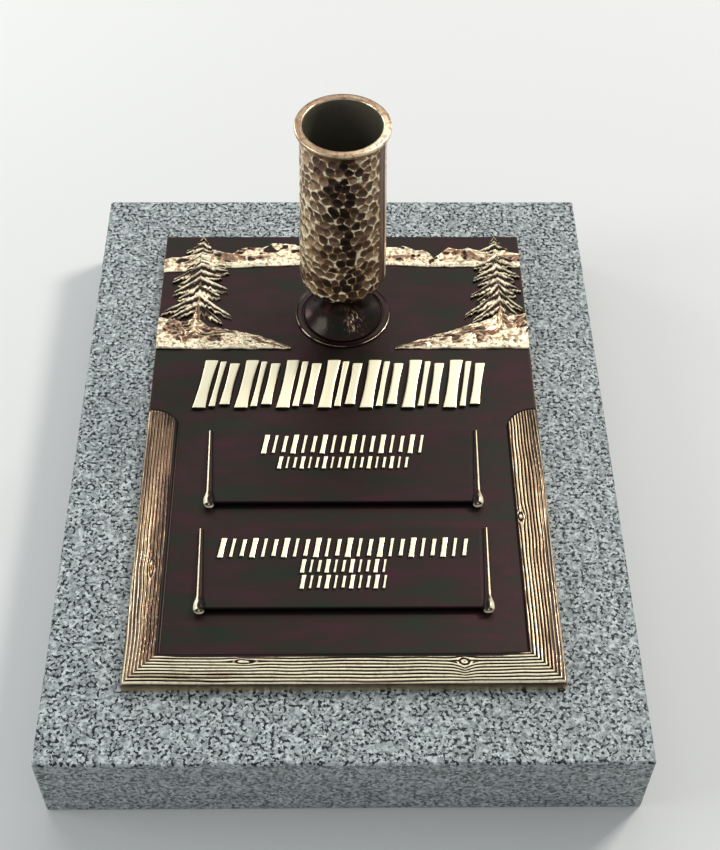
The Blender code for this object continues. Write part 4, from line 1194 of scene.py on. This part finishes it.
def vase_ring(material):
    """The collar: a low profile turned about the vase's axis, with a thin outer bead that carries
    painted highlights, brightest in two arcs and broken by noise.
    """
    outer = (RING_HIGH[0] - RING_LOW[0]) / 2
    rise = RING_HIGH[2] - RING_LOW[2]
    inner = FOOT_RADIUS + 0.0012
    width = outer - inner
    corners = [
        (inner, 0.0),
        (inner, 0.45 * rise),
        (inner + 0.10 * width, 0.60 * rise),
        (inner + 0.25 * width, 0.45 * rise),
        (outer - 0.32 * width, 0.42 * rise),
        (outer - 0.26 * width, 0.95 * rise),
        (outer - 0.12 * width, 1.02 * rise),
        (outer, 0.80 * rise),
        (outer, 0.0),
    ]
    line = smooth_line(corners, RING_ROWS)
    line[:, 1] = np.minimum(line[:, 1], rise)
    angle, radius, height = turned_grid(line, RING_COLUMNS)
    # Painted highlights on the bead, strongest in two arcs, faint all round and broken by noise
    lit = bell(angle, 2 * np.pi - 2.45, 0.36) + bell(angle, 2 * np.pi - 1.05, 0.75)
    brightened = (0.18 + 0.9 * lit) * ease((noise(angle * 5, 0 * radius, 88) - 0.12) / 0.4)
    bead = bell(radius, outer - 0.0010, 0.0005) * ease(height / (0.7 * rise))
    lip = bell(radius, inner + 0.0006, 0.0006) * ease(height / (0.4 * rise))
    wear_and_sheen = (1.05 * bead + 0.12 * lip) * brightened + 0.05
    masks = {"wear_and_sheen": wear_and_sheen.ravel(), "dark": 0.0 * wear_and_sheen.ravel(), "polish": 0.5 + 0.0 * wear_and_sheen.ravel()}
    quads = grid_quads(RING_ROWS, RING_COLUMNS, wrap_rows=True, wrap_columns=True)
    points = turned_points(angle, radius, height, RING_LOW[2])
    mesh = build_mesh("ring_collar", points, quads, (), masks)
    add_piece(mesh, material, "vase_ring")


# Camera fitted to the photograph, in metres and degrees, about the middle of the plate's face
CAMERA_PLACE = (-0.0048, -1.0705, 1.3254)
CAMERA_PITCH = 50.75
CAMERA_YAW = 1.29
CAMERA_ROLL = 0.88
CAMERA_LENS = 61.97

# Soft lights: name, place, target, size, watts, colour
PLATE_MIDDLE = (0.0, 0.0, PLATE_TOP)
LIGHTS = (
    ("key", (2.6, 2.0, 3.8), PLATE_MIDDLE, 1.0, 140, (1.0, 0.97, 0.93)),
    ("far_panel", (-0.3, 3.3, 3.9), PLATE_MIDDLE, 3.6, 44, (1.0, 1.0, 1.0)),
    ("left_fill", (-2.6, -0.4, 1.7), PLATE_MIDDLE, 1.6, 26, (0.95, 0.98, 1.0)),
    ("left_rim", (-1.5, 1.5, 0.9), (0.0, VASE_Y, 0.3), 0.8, 9, (1.0, 1.0, 1.0)),
)
FLOOR_REACH = 6
SKY_STRENGTH = 0.50


def add_camera():
    """A camera at the photograph's viewing angle."""
    pitch, yaw, roll = (math.radians(value) for value in (CAMERA_PITCH, CAMERA_YAW, CAMERA_ROLL))
    ahead = Vector((math.sin(yaw) * math.cos(pitch), math.cos(yaw) * math.cos(pitch), -math.sin(pitch)))
    right = Vector((math.cos(yaw), -math.sin(yaw), 0.0))
    up = right.cross(ahead)
    turned_right = right * math.cos(roll) + up * math.sin(roll)
    turned_up = up * math.cos(roll) - right * math.sin(roll)
    camera = bpy.data.objects.new("camera", bpy.data.cameras.new("camera"))
    camera.data.lens = CAMERA_LENS
    camera.data.clip_start = 0.05
    turn = Matrix((turned_right, turned_up, -ahead)).transposed().to_4x4()
    place = Vector(CAMERA_PLACE) + Vector((0, 0, PLATE_TOP))
    camera.matrix_world = Matrix.Translation(place) @ turn
    bpy.context.scene.collection.objects.link(camera)
    bpy.context.scene.camera = camera


def add_light(name, place, target, size, watts, colour):
    """A soft rectangular light that points at a target."""
    light = bpy.data.objects.new(name, bpy.data.lights.new(name, "AREA"))
    light.data.size = size
    light.data.energy = watts
    light.data.color = colour
    aim = Vector(target) - Vector(place)
    light.matrix_world = Matrix.Translation(place) @ aim.to_track_quat("-Z", "Y").to_matrix().to_4x4()
    light.visible_camera = False
    bpy.context.scene.collection.objects.link(light)


def add_studio():
    """A pale floor, a soft key from the far right, a broad light over the far end and two on the left.

    The sky gives an even light to all sides.
    """
    mesh = bpy.data.meshes.new("studio_floor")
    corners = [(x * FLOOR_REACH, y * FLOOR_REACH, 0) for x, y in ((-1, -1), (1, -1), (1, 1), (-1, 1))]
    mesh.from_pydata(corners, [], [(0, 1, 2, 3)])
    floor = bpy.data.objects.new("studio_floor", mesh)
    mesh.materials.append(floor_material())
    bpy.context.scene.collection.objects.link(floor)
    for light in LIGHTS:
        add_light(*light)
    world = bpy.data.worlds.new("studio")
    world.use_nodes = True
    background = world.node_tree.nodes["Background"]
    background.inputs["Color"].default_value = SKYLIGHT
    background.inputs["Strength"].default_value = SKY_STRENGTH
    bpy.context.scene.world = world
    bpy.context.scene.view_settings.view_transform = "Standard"


add_camera()
group = cast_bronze_group()
bronze = {name: bronze_material(name, group, *values) for name, values in BRONZES.items()}
plate_slab(bronze["plate_bronze"])
frame_rails(bronze["frame_bronze"])
mountains(bronze["landscape_bronze"])
mound("mound_left", MOUND_LEFT, 51, YOUNG_TREE_LEFT, bronze["landscape_bronze"])
mound("mound_right", MOUND_RIGHT, 151, YOUNG_TREE_RIGHT, bronze["landscape_bronze"])
pine("pine_left", PINE_LEFT, 200, bronze["landscape_bronze"])
pine("pine_right", PINE_RIGHT, 300, bronze["landscape_bronze"])
headline(bronze["plate_bronze"])
name_scroll("name_scroll_upper", UPPER_ROWS, bronze["scroll_bronze"])
name_scroll("name_scroll_lower", LOWER_ROWS, bronze["scroll_bronze"])
vase_ring(bronze["ring_bronze"])
vase(bronze["vase_bronze"])
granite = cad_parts["granite_base"]
granite.data.materials.clear()
granite.data.materials.append(granite_material())
add_studio()
